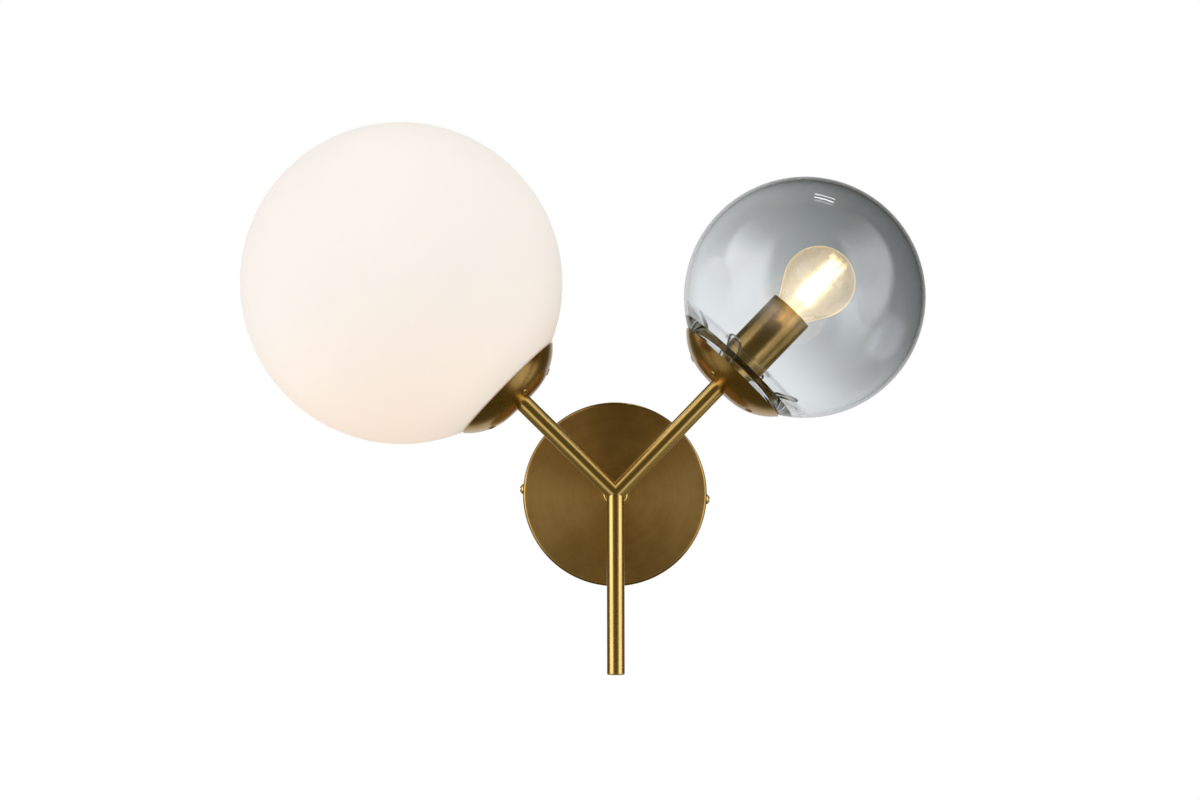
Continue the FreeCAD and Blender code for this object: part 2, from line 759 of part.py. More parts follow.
def make_cover():
    """Drawn brass sleeve over the lampholder, clamped by its bottom."""
    inside = cover_radius - sleeve_cover_wall
    top = nut_top + sleeve_cover_length
    edge = sleeve_cover_round
    corner = cover_radius - edge
    hole_radius = nipple_radius + seat_gap
    part = Outline(hole_radius, nut_top).to(corner, nut_top)
    part = part.around(corner, nut_top + edge, cover_radius, nut_top + edge).to(cover_radius, top)
    part = part.to(inside, top).to(inside, nut_top + edge)
    part = part.around(corner, nut_top + edge, corner, base_bottom).to(hole_radius, base_bottom)
    return part.spun()


def make_base():
    """Insulating cap, screwed on the nipple, in which the leads spread to the terminals."""
    inside = body_radius - base_wall
    edge = sleeve_cover_round
    part = Outline(nipple_radius + thread_fit, base_bottom).to(body_radius - edge, base_bottom)
    part = part.around(body_radius - edge, base_bottom + edge, body_radius, base_bottom + edge)
    part = part.to(body_radius, base_top).to(inside, base_top).to(inside, base_bottom + base_floor)
    return part.to(nipple_radius + thread_fit, base_bottom + base_floor).spun()


def make_body():
    """Insulating body with the socket and two terminal holes in its underside."""
    body = cylinder(body_radius, base_top, body_top)
    body = body.cut(cylinder(shell_outer_radius + seat_gap, socket_floor, body_top + 1))
    for side in (-1, 1):
        hole = cylinder(lead_dia / 2 + seat_gap, base_top - 1, base_top + terminal_depth)
        body = body.cut(placed(hole, Placement(Vector(side * terminal_spread / 2, 0, 0), Rotation())))
    return body


def make_shell():
    """Threaded brass shell of the socket, drawn plain, with a floor round the centre contact."""
    floor = socket_floor + shell_wall
    part = Outline(shell_hole_dia / 2, socket_floor).to(shell_outer_radius, socket_floor)
    part = part.to(shell_outer_radius, socket_floor + shell_length)
    part = part.to(shell_inner_radius, socket_floor + shell_length).to(shell_inner_radius, floor)
    return part.to(shell_hole_dia / 2, floor).spun()


def make_contact():
    """Springy strip on the floor of the socket, bent up towards the bulb."""
    reach = shell_hole_dia / 2 - 2 * seat_gap
    half = contact_width / 2
    top = socket_floor + contact_rise
    foot = socket_floor + contact_thick
    corners = [(-reach, socket_floor), (-half, socket_floor), (half, top - contact_thick),
               (reach - half / 2, top - contact_thick), (reach - half / 2, top), (half - contact_thick, top),
               (-half - contact_thick / 2, foot), (-reach, foot), (-reach, socket_floor)]
    strip = Part.Face(Part.makePolygon([Vector(x, -half, z) for x, z in corners]))
    strip = strip.extrude(Vector(0, contact_width, 0))
    return strip.common(cylinder(reach, socket_floor, top))


def make_end_contact():
    """Round contact at the bottom of the bulb."""
    radius = end_contact_dia / 2
    part = Outline(0, bulb_start).to(radius * 0.6, bulb_start).to(radius, bulb_start + end_contact_thick / 2)
    return part.to(radius, bulb_start + end_contact_thick).to(0, bulb_start + end_contact_thick).spun()


def make_cap():
    """Screw cap of the bulb, drawn plain, with its insulating bottom and its skirt."""
    hole = end_contact_dia / 2 + seat_gap
    skirt = cap_skirt_dia / 2
    flare = skirt - cap_radius
    low = bulb_start + cap_thread_start
    high = bulb_start + cap_thread_end
    bottom = bulb_start + end_contact_thick / 2 + seat_gap
    part = Outline(hole, bottom).to(cap_radius * 0.75, low - cap_wall).to(cap_radius, low).to(cap_radius, high)
    part = part.to(skirt, high + flare).to(skirt, cap_end).to(skirt - cap_wall, cap_end)
    part = part.to(skirt - cap_wall, high + flare + cap_wall).to(cap_radius - cap_wall, high + cap_wall)
    part = part.to(cap_radius - cap_wall, low + cap_wall).to(cap_radius * 0.7, low + cap_wall)
    return part.to(hole, bottom + cap_wall).spun()


def cone_touch(radius, height, sphere_radius):
    """Point where a straight line from a neck of this radius and height touches the bulb's sphere."""
    drop = bulb_centre - height
    distance = math.hypot(radius, drop)
    angle = math.atan2(radius, drop) + math.acos(sphere_radius / distance)
    return sphere_radius * math.sin(angle), bulb_centre - sphere_radius * math.cos(angle)


def make_bulb_glass():
    """Clear glass of the bulb: a neck, a cone and a sphere, closed at the bottom."""
    neck = bulb_neck_dia / 2
    inner_neck = neck - bulb_glass_wall
    inner_radius = bulb_radius - bulb_glass_wall
    shoulder = cap_end + bulb_glass_wall
    outer_r, outer_z = cone_touch(neck, shoulder, bulb_radius)
    inner_r, inner_z = cone_touch(inner_neck, shoulder, inner_radius)
    part = Outline(0, glass_bottom).to(neck, glass_bottom).to(neck, shoulder).to(outer_r, outer_z)
    part = part.around(0, bulb_centre, 0, bulb_tip).to(0, bulb_tip - bulb_glass_wall)
    part = part.around(0, bulb_centre, inner_r, inner_z).to(inner_neck, shoulder)
    return part.to(inner_neck, glass_bottom + bulb_glass_wall).to(0, glass_bottom + bulb_glass_wall).spun()


def make_bulb_stem():
    """Glass stem on the bottom of the bulb, between the filaments."""
    low = glass_bottom + bulb_glass_wall
    rod = stem_glass_dia / 2
    foot = bulb_neck_dia / 2 - 2 * bulb_glass_wall
    top = filament_bottom + filament_length + filament_wire_dia
    part = Outline(0, low).to(foot, low).to(rod * 1.7, low + foot).to(rod, low + 2 * foot).to(rod, top - rod)
    return part.around(0, top - rod, 0, top).spun()


def make_filament_frame():
    """Two rings on the glass stem, each with a wire to every filament."""
    inner = stem_glass_dia / 2 + thread_fit
    outer = inner + filament_wire_dia
    reach = (filament_circle_dia + filament_dia) / 2
    spiders = []
    for low in (filament_bottom - filament_wire_dia, filament_bottom + filament_length):
        high = low + filament_wire_dia
        spider = ring(outer, inner, low - filament_wire_dia / 2, high)
        for i in range(filament_count):
            arm = Part.makeBox(reach - inner, filament_wire_dia, filament_wire_dia,
                               Vector(inner + filament_wire_dia / 4, -filament_wire_dia / 2, low))
            spider = spider.fuse(turned(arm, 360 * i / filament_count))
        spiders.append(spider.cut(cylinder(inner, low - 1, high + 1)).removeSplitter())
    return Part.makeCompound(spiders)


def make_filaments():
    """Straight filaments that stand round the glass stem."""
    rod = cylinder(filament_dia / 2, filament_bottom, filament_bottom + filament_length)
    rod = placed(rod, Placement(Vector(filament_circle_dia / 2, 0, 0), Rotation()))
    return Part.makeCompound([turned(rod, 360 * i / filament_count) for i in range(filament_count)])


# Leads

def make_lead(head, upper, pole):
    """Lead from a pole of the block, out through the stem, along an arm and to the lampholder."""
    side = math.copysign(1, head.along.x)
    x, y = side * lead_pitch / 2, upper * lead_pitch / 2
    level = pole_level + side * lead_stack / 2
    corner = wall(x, y, arm_plane - upper * lead_stack / 2)
    in_arm = head.placement.inverse().multVec(corner)
    near = block_x - block_length / 2
    spread = side * upper * terminal_spread / 2
    nipple_top = base_bottom + base_floor
    points = [wall(near + clamp_screw_inset + clamp_screw_dia / 2, pole, level),
              wall(near - lead_dia * 1.5, pole, level),
              wall(x, y, level),
              corner,
              head.point(in_arm.x, in_arm.y, nipple_top + lead_dia),
              head.point(spread, 0, base_top - lead_dia),
              head.point(spread, 0, base_top + terminal_depth - seat_gap)]
    bends = [lead_bend_radius, lead_turn_radius, junction_bend_radius, lead_turn_radius, lead_turn_radius]
    return bent_rod(points, bends, lead_dia / 2)


def make_earth_lead():
    """Lead from under the earth screw to the middle pole of the block."""
    beside = -(earth_screw_dia + lead_dia) / 2 - seat_gap
    low = bracket_thick + lead_dia / 2 + seat_gap
    near = block_x - block_length / 2
    points = [wall(earth_screw_x - earth_head_dia / 2, beside, low),
              wall(near - 4.5 * lead_dia, beside, low),
              wall(near - lead_dia, 0, pole_level),
              wall(near + clamp_screw_inset + clamp_screw_dia / 2, 0, pole_level)]
    return bent_rod(points, [lead_bend_radius, lead_bend_radius], lead_dia / 2)


def wall_parts():
    """Everything that is fixed to the wall bracket or made of tube, by name."""
    parts = {
        "mounting_bracket": placed(make_bracket(), WALL),
        "bracket_earth_screw": placed(make_earth_screw(), WALL),
        "terminal_block": placed(make_block_body(), WALL),
        "terminal_sleeves": placed(make_sleeves(), WALL),
        "terminal_screws": placed(make_clamp_screws(), WALL),
        "terminal_block_screw": placed(make_block_screw(), WALL),
        "canopy": placed(make_canopy(), WALL),
        "side_screw_left": placed(make_side_screw(-1), WALL),
        "side_screw_right": placed(make_side_screw(1), WALL),
        "stem": make_stem(),
        "stem_washer": make_stem_washer(),
        "stem_lock_nut": make_stem_nut(),
        "stem_bushing": make_bushing(),
        "left_arm": make_left_arm(),
        "right_arm": make_right_arm(),
        "drop_tube": make_drop_tube(),
        "drop_tube_plug": make_drop_plug(),
        "earth_lead": make_earth_lead(),
    }
    return parts


def head_parts(head):
    """Everything on one end of an arm, by name, and its two leads."""
    drawn = {
        "nipple": make_nipple(),
        "cup": make_cup(head.clip_turn),
        "cup_washer": make_cup_washer(),
        "cup_nut": make_cup_nut(),
        "clip_rivets": make_rivets(head.clip_turn),
        "globe_clips": make_clips(head.clip_turn),
        "globe_gasket": make_gasket(),
        "holder_cover": make_cover(),
        "holder_base": make_base(),
        "holder_body": make_body(),
        "holder_shell": make_shell(),
        "holder_contact": make_contact(),
        "bulb_end_contact": make_end_contact(),
        "bulb_cap": make_cap(),
        "bulb_glass": make_bulb_glass(),
        "bulb_stem": make_bulb_stem(),
        "filament_frame": make_filament_frame(),
        "filaments": make_filaments(),
    }
    parts = {head.name + "_" + name: head.place(shape) for name, shape in drawn.items()}
    parts[head.globe_name] = head.place(make_globe(head.globe_radius))
    parts[head.name + "_live_lead"] = make_lead(head, 1, pole_pitch)
    parts[head.name + "_neutral_lead"] = make_lead(head, -1, -pole_pitch)
    return parts


def main():
    """Build every part and write one file for each."""
    os.makedirs("parts", exist_ok=True)
    parts = wall_parts()
    for head in HEADS:
        parts.update(head_parts(head))
    for name, shape in parts.items():
        if not shape.isValid():
            print("not valid:", name)
        shape.exportStep("parts/" + name + ".step")
    whole = Part.makeCompound(list(parts.values())).BoundBox
    print(len(parts), "parts, %.1f wide, %.1f deep, %.1f high" % (whole.XLength, whole.YLength, whole.ZLength))


main()
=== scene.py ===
"""Double arm wall sconce: a round brass wall plate, a Y of brass tube, two glass globes and their bulbs."""
import json
import logging
import math
from dataclasses import dataclass, field, replace
from enum import Enum
from typing import Iterable, Sequence

import bmesh
import bpy
from mathutils import Matrix, Vector


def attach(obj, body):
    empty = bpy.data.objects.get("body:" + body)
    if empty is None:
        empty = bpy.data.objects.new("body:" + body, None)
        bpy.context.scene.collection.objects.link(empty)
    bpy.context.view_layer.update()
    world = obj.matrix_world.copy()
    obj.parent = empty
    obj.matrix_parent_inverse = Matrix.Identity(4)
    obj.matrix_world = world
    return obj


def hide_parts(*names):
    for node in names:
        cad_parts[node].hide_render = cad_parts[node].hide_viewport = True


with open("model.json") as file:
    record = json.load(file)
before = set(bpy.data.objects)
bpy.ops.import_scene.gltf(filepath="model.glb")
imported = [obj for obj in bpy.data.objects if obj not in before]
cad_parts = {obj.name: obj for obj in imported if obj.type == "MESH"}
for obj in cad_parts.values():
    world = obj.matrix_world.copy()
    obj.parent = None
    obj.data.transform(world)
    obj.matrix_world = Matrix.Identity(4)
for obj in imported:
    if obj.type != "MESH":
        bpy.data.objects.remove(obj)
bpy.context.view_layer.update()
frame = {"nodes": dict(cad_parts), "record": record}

Colour = tuple[float, float, float, float]
Axis = tuple[float, float, float]
Span = tuple[float, float]
Feed = object
Tree = bpy.types.NodeTree
Node = bpy.types.Node
Socket = bpy.types.NodeSocket
Piece = bpy.types.Object
Build = bmesh.types.BMesh
Point = bmesh.types.BMVert

FIXTURE = "fixture"
ARC_STEP = math.radians(4.0)
LIP_STEP = 0.4
END_STEP = 0.3
SHARP_EDGE = math.radians(32.0)
ON_AXIS = 1e-7
MIDDLE = 0.5
# A Mix node's colour sockets, by number because others have the same names.
MIX_FIRST, MIX_SECOND, MIX_RESULT = 6, 7, 2

log = logging.getLogger("sconce")


class Signal:
    """A number that a node sheet works out, on which sums are written as plain expressions."""

    def __init__(self, sheet: "Sheet", socket: Socket) -> None:
        """Keeps the socket that carries the number and the sheet it is on."""
        self.sheet = sheet
        self.socket = socket

    def worked(self, operation: str, *values: Feed) -> "Signal":
        """Adds a Math node.

        Args:
            operation: The node's operation.
            values: Numbers or signals for its sockets, in order.

        Returns:
            The node's result.
        """
        node = self.sheet.add("ShaderNodeMath", {"operation": operation}, dict(enumerate(values)))
        return Signal(self.sheet, node.outputs[0])

    def __add__(self, other: Feed) -> "Signal":
        """This number plus another."""
        return self.worked("ADD", self, other)

    def __radd__(self, other: Feed) -> "Signal":
        """Another number plus this one."""
        return self.worked("ADD", other, self)

    def __sub__(self, other: Feed) -> "Signal":
        """This number minus another."""
        return self.worked("SUBTRACT", self, other)

    def __rsub__(self, other: Feed) -> "Signal":
        """Another number minus this one."""
        return self.worked("SUBTRACT", other, self)

    def __mul__(self, other: Feed) -> "Signal":
        """This number times another."""
        return self.worked("MULTIPLY", self, other)

    def __rmul__(self, other: Feed) -> "Signal":
        """Another number times this one."""
        return self.worked("MULTIPLY", other, self)

    def __truediv__(self, other: Feed) -> "Signal":
        """This number divided by another."""
        return self.worked("DIVIDE", self, other)

    def __rtruediv__(self, other: Feed) -> "Signal":
        """Another number divided by this one."""
        return self.worked("DIVIDE", other, self)

    def __pow__(self, other: Feed) -> "Signal":
        """This number to a power."""
        return self.worked("POWER", self, other)

    def __rpow__(self, other: Feed) -> "Signal":
        """Another number to the power of this one."""
        return self.worked("POWER", other, self)

    def __abs__(self) -> "Signal":
        """This number without its sign."""
        return self.worked("ABSOLUTE", self)

    def sine(self) -> "Signal":
        """The sine of this number."""
        return self.worked("SINE", self)

    def below(self, limit: float) -> "Signal":
        """1 where this number is below the limit, and 0 elsewhere."""
        return self.worked("LESS_THAN", self, limit)

    def swing(self, share: float) -> "Signal":
        """A share of how far noise between 0 and 1 is from its middle."""
        return (self - MIDDLE) * share

    def rising(self, low: float, high: float) -> "Signal":
        """A smooth step from 0 at the low value to 1 at the high one."""
        node = self.sheet.add("ShaderNodeMapRange", {"interpolation_type": "SMOOTHSTEP"},
                              {"Value": self, "From Min": low, "From Max": high})
        return Signal(self.sheet, node.outputs[0])

    def falling(self, low: float, high: float) -> "Signal":
        """A smooth step from 1 at the low value to 0 at the high one."""
        return 1.0 - self.rising(low, high)


class Sheet:
    """The nodes of one material or of the world."""

    def __init__(self, tree: Tree) -> None:
        """Starts an empty sheet on the tree."""
        self.tree = tree
        tree.nodes.clear()

    def add(self, kind: str, settings: dict[str, Feed] | None = None,
            sockets: dict[int | str, Feed] | None = None) -> Node:
        """Adds a node.

        Args:
            kind: The node's type.
            settings: Its settings, such as a Math node's operation, which are set first.
            sockets: Values or links of its sockets, by name or number.

        Returns:
            The new node.
        """
        node = self.tree.nodes.new(kind)
        for name, value in (settings or {}).items():
            setattr(node, name, value)
        self.fill(node, sockets or {})
        return node

    def fill(self, node: Node, sockets: dict[int | str, Feed]) -> None:
        """Links signals and sockets to a node's sockets, or sets their own values.

        Args:
            node: The node.
            sockets: Values or links, by the name or number of the socket.
        """
        for name, value in sockets.items():
            if isinstance(value, Signal):
                self.tree.links.new(value.socket, node.inputs[name])
            elif isinstance(value, Socket):
                self.tree.links.new(value, node.inputs[name])
            else:
                node.inputs[name].default_value = value

    def place(self) -> Socket:
        """The point of the surface in the piece's own frame."""
        return self.add("ShaderNodeTexCoord").outputs["Object"]

    def sides(self, vector: Feed) -> list[Signal]:
        """The three parts of a vector."""
        node = self.add("ShaderNodeSeparateXYZ", sockets={0: vector})
        return [Signal(self, output) for output in node.outputs]

    def joined(self, x: Feed, y: Feed, z: Feed) -> Socket:
        """A vector made of three numbers."""
        return self.add("ShaderNodeCombineXYZ", sockets={0: x, 1: y, 2: z}).outputs[0]

    def vector(self, operation: str, sockets: dict[int | str, Feed]) -> Node:
        """A Vector Math node."""
        return self.add("ShaderNodeVectorMath", {"operation": operation}, sockets)

    def along(self, vector: Feed, axis: Axis) -> Signal:
        """How far a place lies along an axis."""
        return Signal(self, self.vector("DOT_PRODUCT", {0: vector, 1: axis}).outputs["Value"])

    def length(self, vector: Feed) -> Signal:
        """How long a vector is."""
        return Signal(self, self.vector("LENGTH", {0: vector}).outputs["Value"])

    def noise(self, vector: Feed, cells: float, detail: float = 3.0, rough: float = 0.55) -> Signal:
        """Soft noise between 0 and 1.

        Args:
            vector: Where it is read.
            cells: Number of its cells per metre.
            detail: Number of finer layers on it.
            rough: How strong each finer layer is.

        Returns:
            The noise.
        """
        node = self.add("ShaderNodeTexNoise", sockets={"Vector": vector, "Scale": cells, "Detail": detail,
                                                       "Roughness": rough})
        return Signal(self, node.outputs[0])

    def mixed(self, mask: Feed, first: Feed, second: Feed) -> Socket:
        """The first colour where the mask is 0 and the second where it is 1."""
        node = self.add("ShaderNodeMix", {"data_type": "RGBA"},
                        {0: mask, MIX_FIRST: first, MIX_SECOND: second})
        return node.outputs[MIX_RESULT]

    def bump(self, height: Feed, depth: float) -> Socket:
        """A normal from a height, where a height of 1 stands the depth proud."""
        return self.add("ShaderNodeBump", sockets={"Height": height, "Distance": depth}).outputs[0]

    def seen_by(self, ray: str) -> Signal:
        """What the light path says of the ray under this name, such as 1 where it is of a kind."""
        return Signal(self, self.add("ShaderNodeLightPath").outputs[ray])

    def unbounced(self, depth: str) -> Signal:
        """1 where the ray hasn't yet been thrown back in the way that this depth counts, and 0 elsewhere."""
        return self.seen_by(depth).below(MIDDLE)

    def straight_view(self) -> Signal:
        """1 where the eye looks straight, or through glass with no mirroring on the way, and 0 elsewhere."""
        direct = self.unbounced("Glossy Depth") * self.unbounced("Diffuse Depth")
        return self.seen_by("Is Camera Ray") + self.seen_by("Is Transmission Ray") * direct

    def facing(self) -> Signal:
        """0 where the surface faces the eye, and 1 where it is seen edge on."""
        return Signal(self, self.add("ShaderNodeLayerWeight", sockets={"Blend": MIDDLE}).outputs["Facing"])

    def blended(self, mask: Feed, first: Feed, second: Feed) -> Socket:
        """The first shader where the mask is 0 and the second where it is 1."""
        return self.add("ShaderNodeMixShader", sockets={0: mask, 1: first, 2: second}).outputs[0]

    def see_through(self, colour: Colour) -> Socket:
        """A shader that lets light straight through in a colour."""
        return self.add("ShaderNodeBsdfTransparent", sockets={"Color": colour}).outputs[0]


def shaded(colour: Colour, share: float) -> Colour:
    """A colour at a share of its brightness."""
    return tuple(part * share for part in colour[:3]) + (1.0,)


@dataclass(frozen=True)
class Finish:
    """A surface finish: a material and the slot of the record that it belongs to.

    In every finish, cells are noise cells per metre, depths and heights are in metres, and a span says
    where a smooth step begins and where it ends.
    """

    name: str
    slot: str

    def paint(self, sheet: Sheet, shader: Node) -> Socket:
        """Sets the shader's sockets.

        Args:
            sheet: The material's nodes.
            shader: Its principled shader.

        Returns:
            The shader output that goes to the surface.
        """
        raise NotImplementedError

    def material(self) -> bpy.types.Material:
        """The finish's material, made on first use.

        Returns:
            The material.
        """
        made = bpy.data.materials.get(self.name)
        if made is None:
            made = bpy.data.materials.new(self.name)
            made.use_nodes = True
            sheet = Sheet(made.node_tree)
            surface = self.paint(sheet, sheet.add("ShaderNodeBsdfPrincipled"))
            sheet.add("ShaderNodeOutputMaterial", sockets={"Surface": surface})
        return made

    def put_on(self, piece: Piece) -> None:
        """Gives a new piece this finish.

        Args:
            piece: The piece.
        """
        piece.data.materials.clear()
        piece.data.materials.append(self.material())

    def dress(self, *nodes: str) -> None:
        """Gives frame nodes this finish, and reports them.

        Args:
            nodes: Names of the nodes.
        """
        for node in nodes:
            for slot in frame["nodes"][node].material_slots:
                slot.material = self.material()
            log.info("%s: kept, in %s", node, self.name)


class Grain(Enum):
    """Which way the marks of a metal's last working run."""

    ALONG = "along the axis"
    AROUND = "around the axis"
    TUMBLED = "no direction"


@dataclass(frozen=True)
class Metal(Finish):
    """A worked metal with fine marks and a faint patina."""

    colour: Colour
    deep: Colour
    roughness: float
    grain: Grain = Grain.TUMBLED
    axis: Axis = (0.0, 0.0, 1.0)
    marks_per_metre: float = 2600.0
    mark_depth: float = 0.00002
    mark_tone: float = 0.35
    mark_roughness: float = 0.05
    tumbled_share: float = 0.4
    wander_cells: float = 60.0
    wander: float = 0.0004
    drawn_share: float = 0.02
    patina: float = 0.45
    cloud_cells: float = 28.0
    cloud_span: Span = (0.36, 0.72)
    cloud_roughness: float = 0.03
    fine_cells: float = 420.0
    fine_tone: float = 0.12
    worn_span: Span = (-0.25, 0.75)
    anisotropic: float = 0.0
    anisotropic_turn: float = 0.25
    bright_edge: float | None = None
    edge_blur: float = 0.0004
    edge_gloss: float = 0.6

    def marks(self, sheet: Sheet, place: Feed) -> Signal:
        """The working marks.

        Args:
            sheet: The material's nodes.
            place: The point of the surface.

        Returns:
            Their height, between 0 and 1.
        """
        if self.grain is Grain.TUMBLED:
            return sheet.noise(place, self.marks_per_metre * self.tumbled_share)
        along = sheet.along(place, self.axis)
        core = sheet.vector("SCALE", {0: self.axis, "Scale": along}).outputs[0]
        across = sheet.vector("SUBTRACT", {0: place, 1: core}).outputs[0]
        if self.grain is Grain.AROUND:
            turn = sheet.noise(place, self.wander_cells, detail=1.0) * self.wander
            line = sheet.joined(sheet.length(across) + turn, along + turn, 0.0)
            return sheet.noise(line, self.marks_per_metre, detail=4.0, rough=0.7)
        drawn = sheet.vector("SCALE", {0: core, "Scale": self.drawn_share}).outputs[0]
        line = sheet.vector("ADD", {0: across, 1: drawn}).outputs[0]
        return sheet.noise(line, self.marks_per_metre, rough=0.65)

    def paint(self, sheet: Sheet, shader: Node) -> Socket:
        """Patina in the colour, and marks in the roughness and the relief.

        Args:
            sheet: The material's nodes.
            shader: Its principled shader.

        Returns:
            The shader output that goes to the surface.
        """
        place = sheet.place()
        marks = self.marks(sheet, place)
        cloud = sheet.noise(place, self.cloud_cells, detail=4.0, rough=0.6).rising(*self.cloud_span)
        fine = sheet.noise(place, self.fine_cells, rough=0.6)
        worn = cloud * self.patina + marks.swing(self.mark_tone) + fine.swing(self.fine_tone)
        rough = self.roughness + marks.swing(self.mark_roughness) + cloud * self.cloud_roughness
        if self.bright_edge:
            edge = sheet.length(place).rising(self.bright_edge - self.edge_blur, self.bright_edge)
            rough = rough * (1.0 - edge * self.edge_gloss)
        sheet.fill(shader, {
            "Base Color": sheet.mixed(worn.rising(*self.worn_span), self.colour, self.deep),
            "Roughness": rough,
            "Normal": sheet.bump(marks, self.mark_depth),
            "Metallic": 1.0,
            "Anisotropic": self.anisotropic,
            "Anisotropic Rotation": self.anisotropic_turn})
        return shader.outputs[0]


@dataclass(frozen=True)
class Moulded(Finish):
    """A plastic, rubber or ceramic with a faint orange-peel surface and, on a two-colour lead, a stripe."""

    colour: Colour
    roughness: float
    stripe: Colour | None = None
    stripes_per_metre: float = 55.0
    stripe_slant: float = 2.0
    stripe_blur: float = 0.1
    peel_cells: float = 900.0
    peel_depth: float = 0.00002
    peel_roughness: float = 0.1
    cloud_cells: float = 60.0
    cloud_span: Span = (0.3, 0.8)
    cloud_shade: float = 0.82

    def paint(self, sheet: Sheet, shader: Node) -> Socket:
        """Mottle and, on a two-colour lead, a slanting stripe.

        Args:
            sheet: The material's nodes.
            shader: Its principled shader.

        Returns:
            The shader output that goes to the surface.
        """
        place = sheet.place()
        peel = sheet.noise(place, self.peel_cells, detail=2.0)
        cloud = sheet.noise(place, self.cloud_cells).rising(*self.cloud_span)
        colour = sheet.mixed(cloud, self.colour, shaded(self.colour, self.cloud_shade))
        if self.stripe:
            x, y, z = sheet.sides(place)
            wave = ((x + y * self.stripe_slant + z) * (self.stripes_per_metre * math.tau)).sine()
            colour = sheet.mixed(wave.rising(-self.stripe_blur, self.stripe_blur), colour, self.stripe)
        sheet.fill(shader, {
            "Base Color": colour,
            "Roughness": self.roughness + peel.swing(self.peel_roughness),
            "Normal": sheet.bump(peel, self.peel_depth)})
        return shader.outputs[0]


@dataclass(frozen=True, kw_only=True)
class Glass(Finish):
    """Glass blown about an axis, which its painted glow or its tint follows, with a lean that paints one side
    lighter, as painted light from that side.
    """

    axis: Axis = (0.0, 0.0, 1.0)
    across: Axis = (1.0, 0.0, 0.0)
    lean: float = 0.17
    drift: float = 0.012

    def level(self, sheet: Sheet, place: Feed, cloud: Signal) -> Signal:
        """The height that the painted glow or the tint goes by, leaned so that one side is painted lighter.

        Args:
            sheet: The material's nodes.
            place: The point of the surface.
            cloud: Soft noise that the height drifts with.

        Returns:
            The height, in metres from the rim of the cup.
        """
        # painted light: the lean lowers the height on one side, so the glow is warmer or the tint lighter
        # there
        lit_side_shift = sheet.along(place, self.across) * self.lean
        return sheet.along(place, self.axis) - lit_side_shift + cloud.swing(self.drift)


@dataclass(frozen=True)
class OpalGlass(Glass):
    """Milk glass with a satin surface, with a painted glow that stands in for the bulb's light, warmer low
    down, and painted shade at its neck.
    """

    milk: Colour
    lit: Colour
    warm_glow: Colour
    dim: Colour
    warm_glow_span: Span
    neck_shade_span: Span = (-0.015, 0.02)
    glow: float = 0.33
    roughness: float = 0.62
    cloud_cells: float = 14.0
    cloud_roughness: float = 0.06
    peel_cells: float = 260.0
    peel_depth: float = 0.00003
    specular: float = 0.3
    scatter: float = 0.25
    scatter_reach: Axis = (0.012, 0.010, 0.008)

    def paint(self, sheet: Sheet, shader: Node) -> Socket:
        """Milk in the body, and the bulb's light painted into the emission, with painted shade at the neck.

        Args:
            sheet: The material's nodes.
            shader: Its principled shader.

        Returns:
            The shader output that goes to the surface.
        """
        place = sheet.place()
        cloud = sheet.noise(place, self.cloud_cells, detail=2.0)
        peel = sheet.noise(place, self.peel_cells, detail=2.0)
        # painted glow: the emission stands in for the bulb's light through the milk, warmer low down
        light = sheet.mixed(self.level(sheet, place, cloud).rising(*self.warm_glow_span), self.warm_glow, self.lit)
        # painted shade: the glow dims at the neck, where the cup and the holder shade the glass
        neck = sheet.along(place, self.axis).rising(*self.neck_shade_span)
        sheet.fill(shader, {
            "Base Color": self.milk,
            "Emission Color": sheet.mixed(neck, self.dim, light),
            "Emission Strength": self.glow,
            "Roughness": self.roughness + cloud.swing(self.cloud_roughness),
            "Normal": sheet.bump(peel, self.peel_depth),
            "Specular IOR Level": self.specular,
            "Subsurface Weight": self.scatter,
            "Subsurface Radius": self.scatter_reach,
            "Subsurface Scale": 1.0})
        return shader.outputs[0]


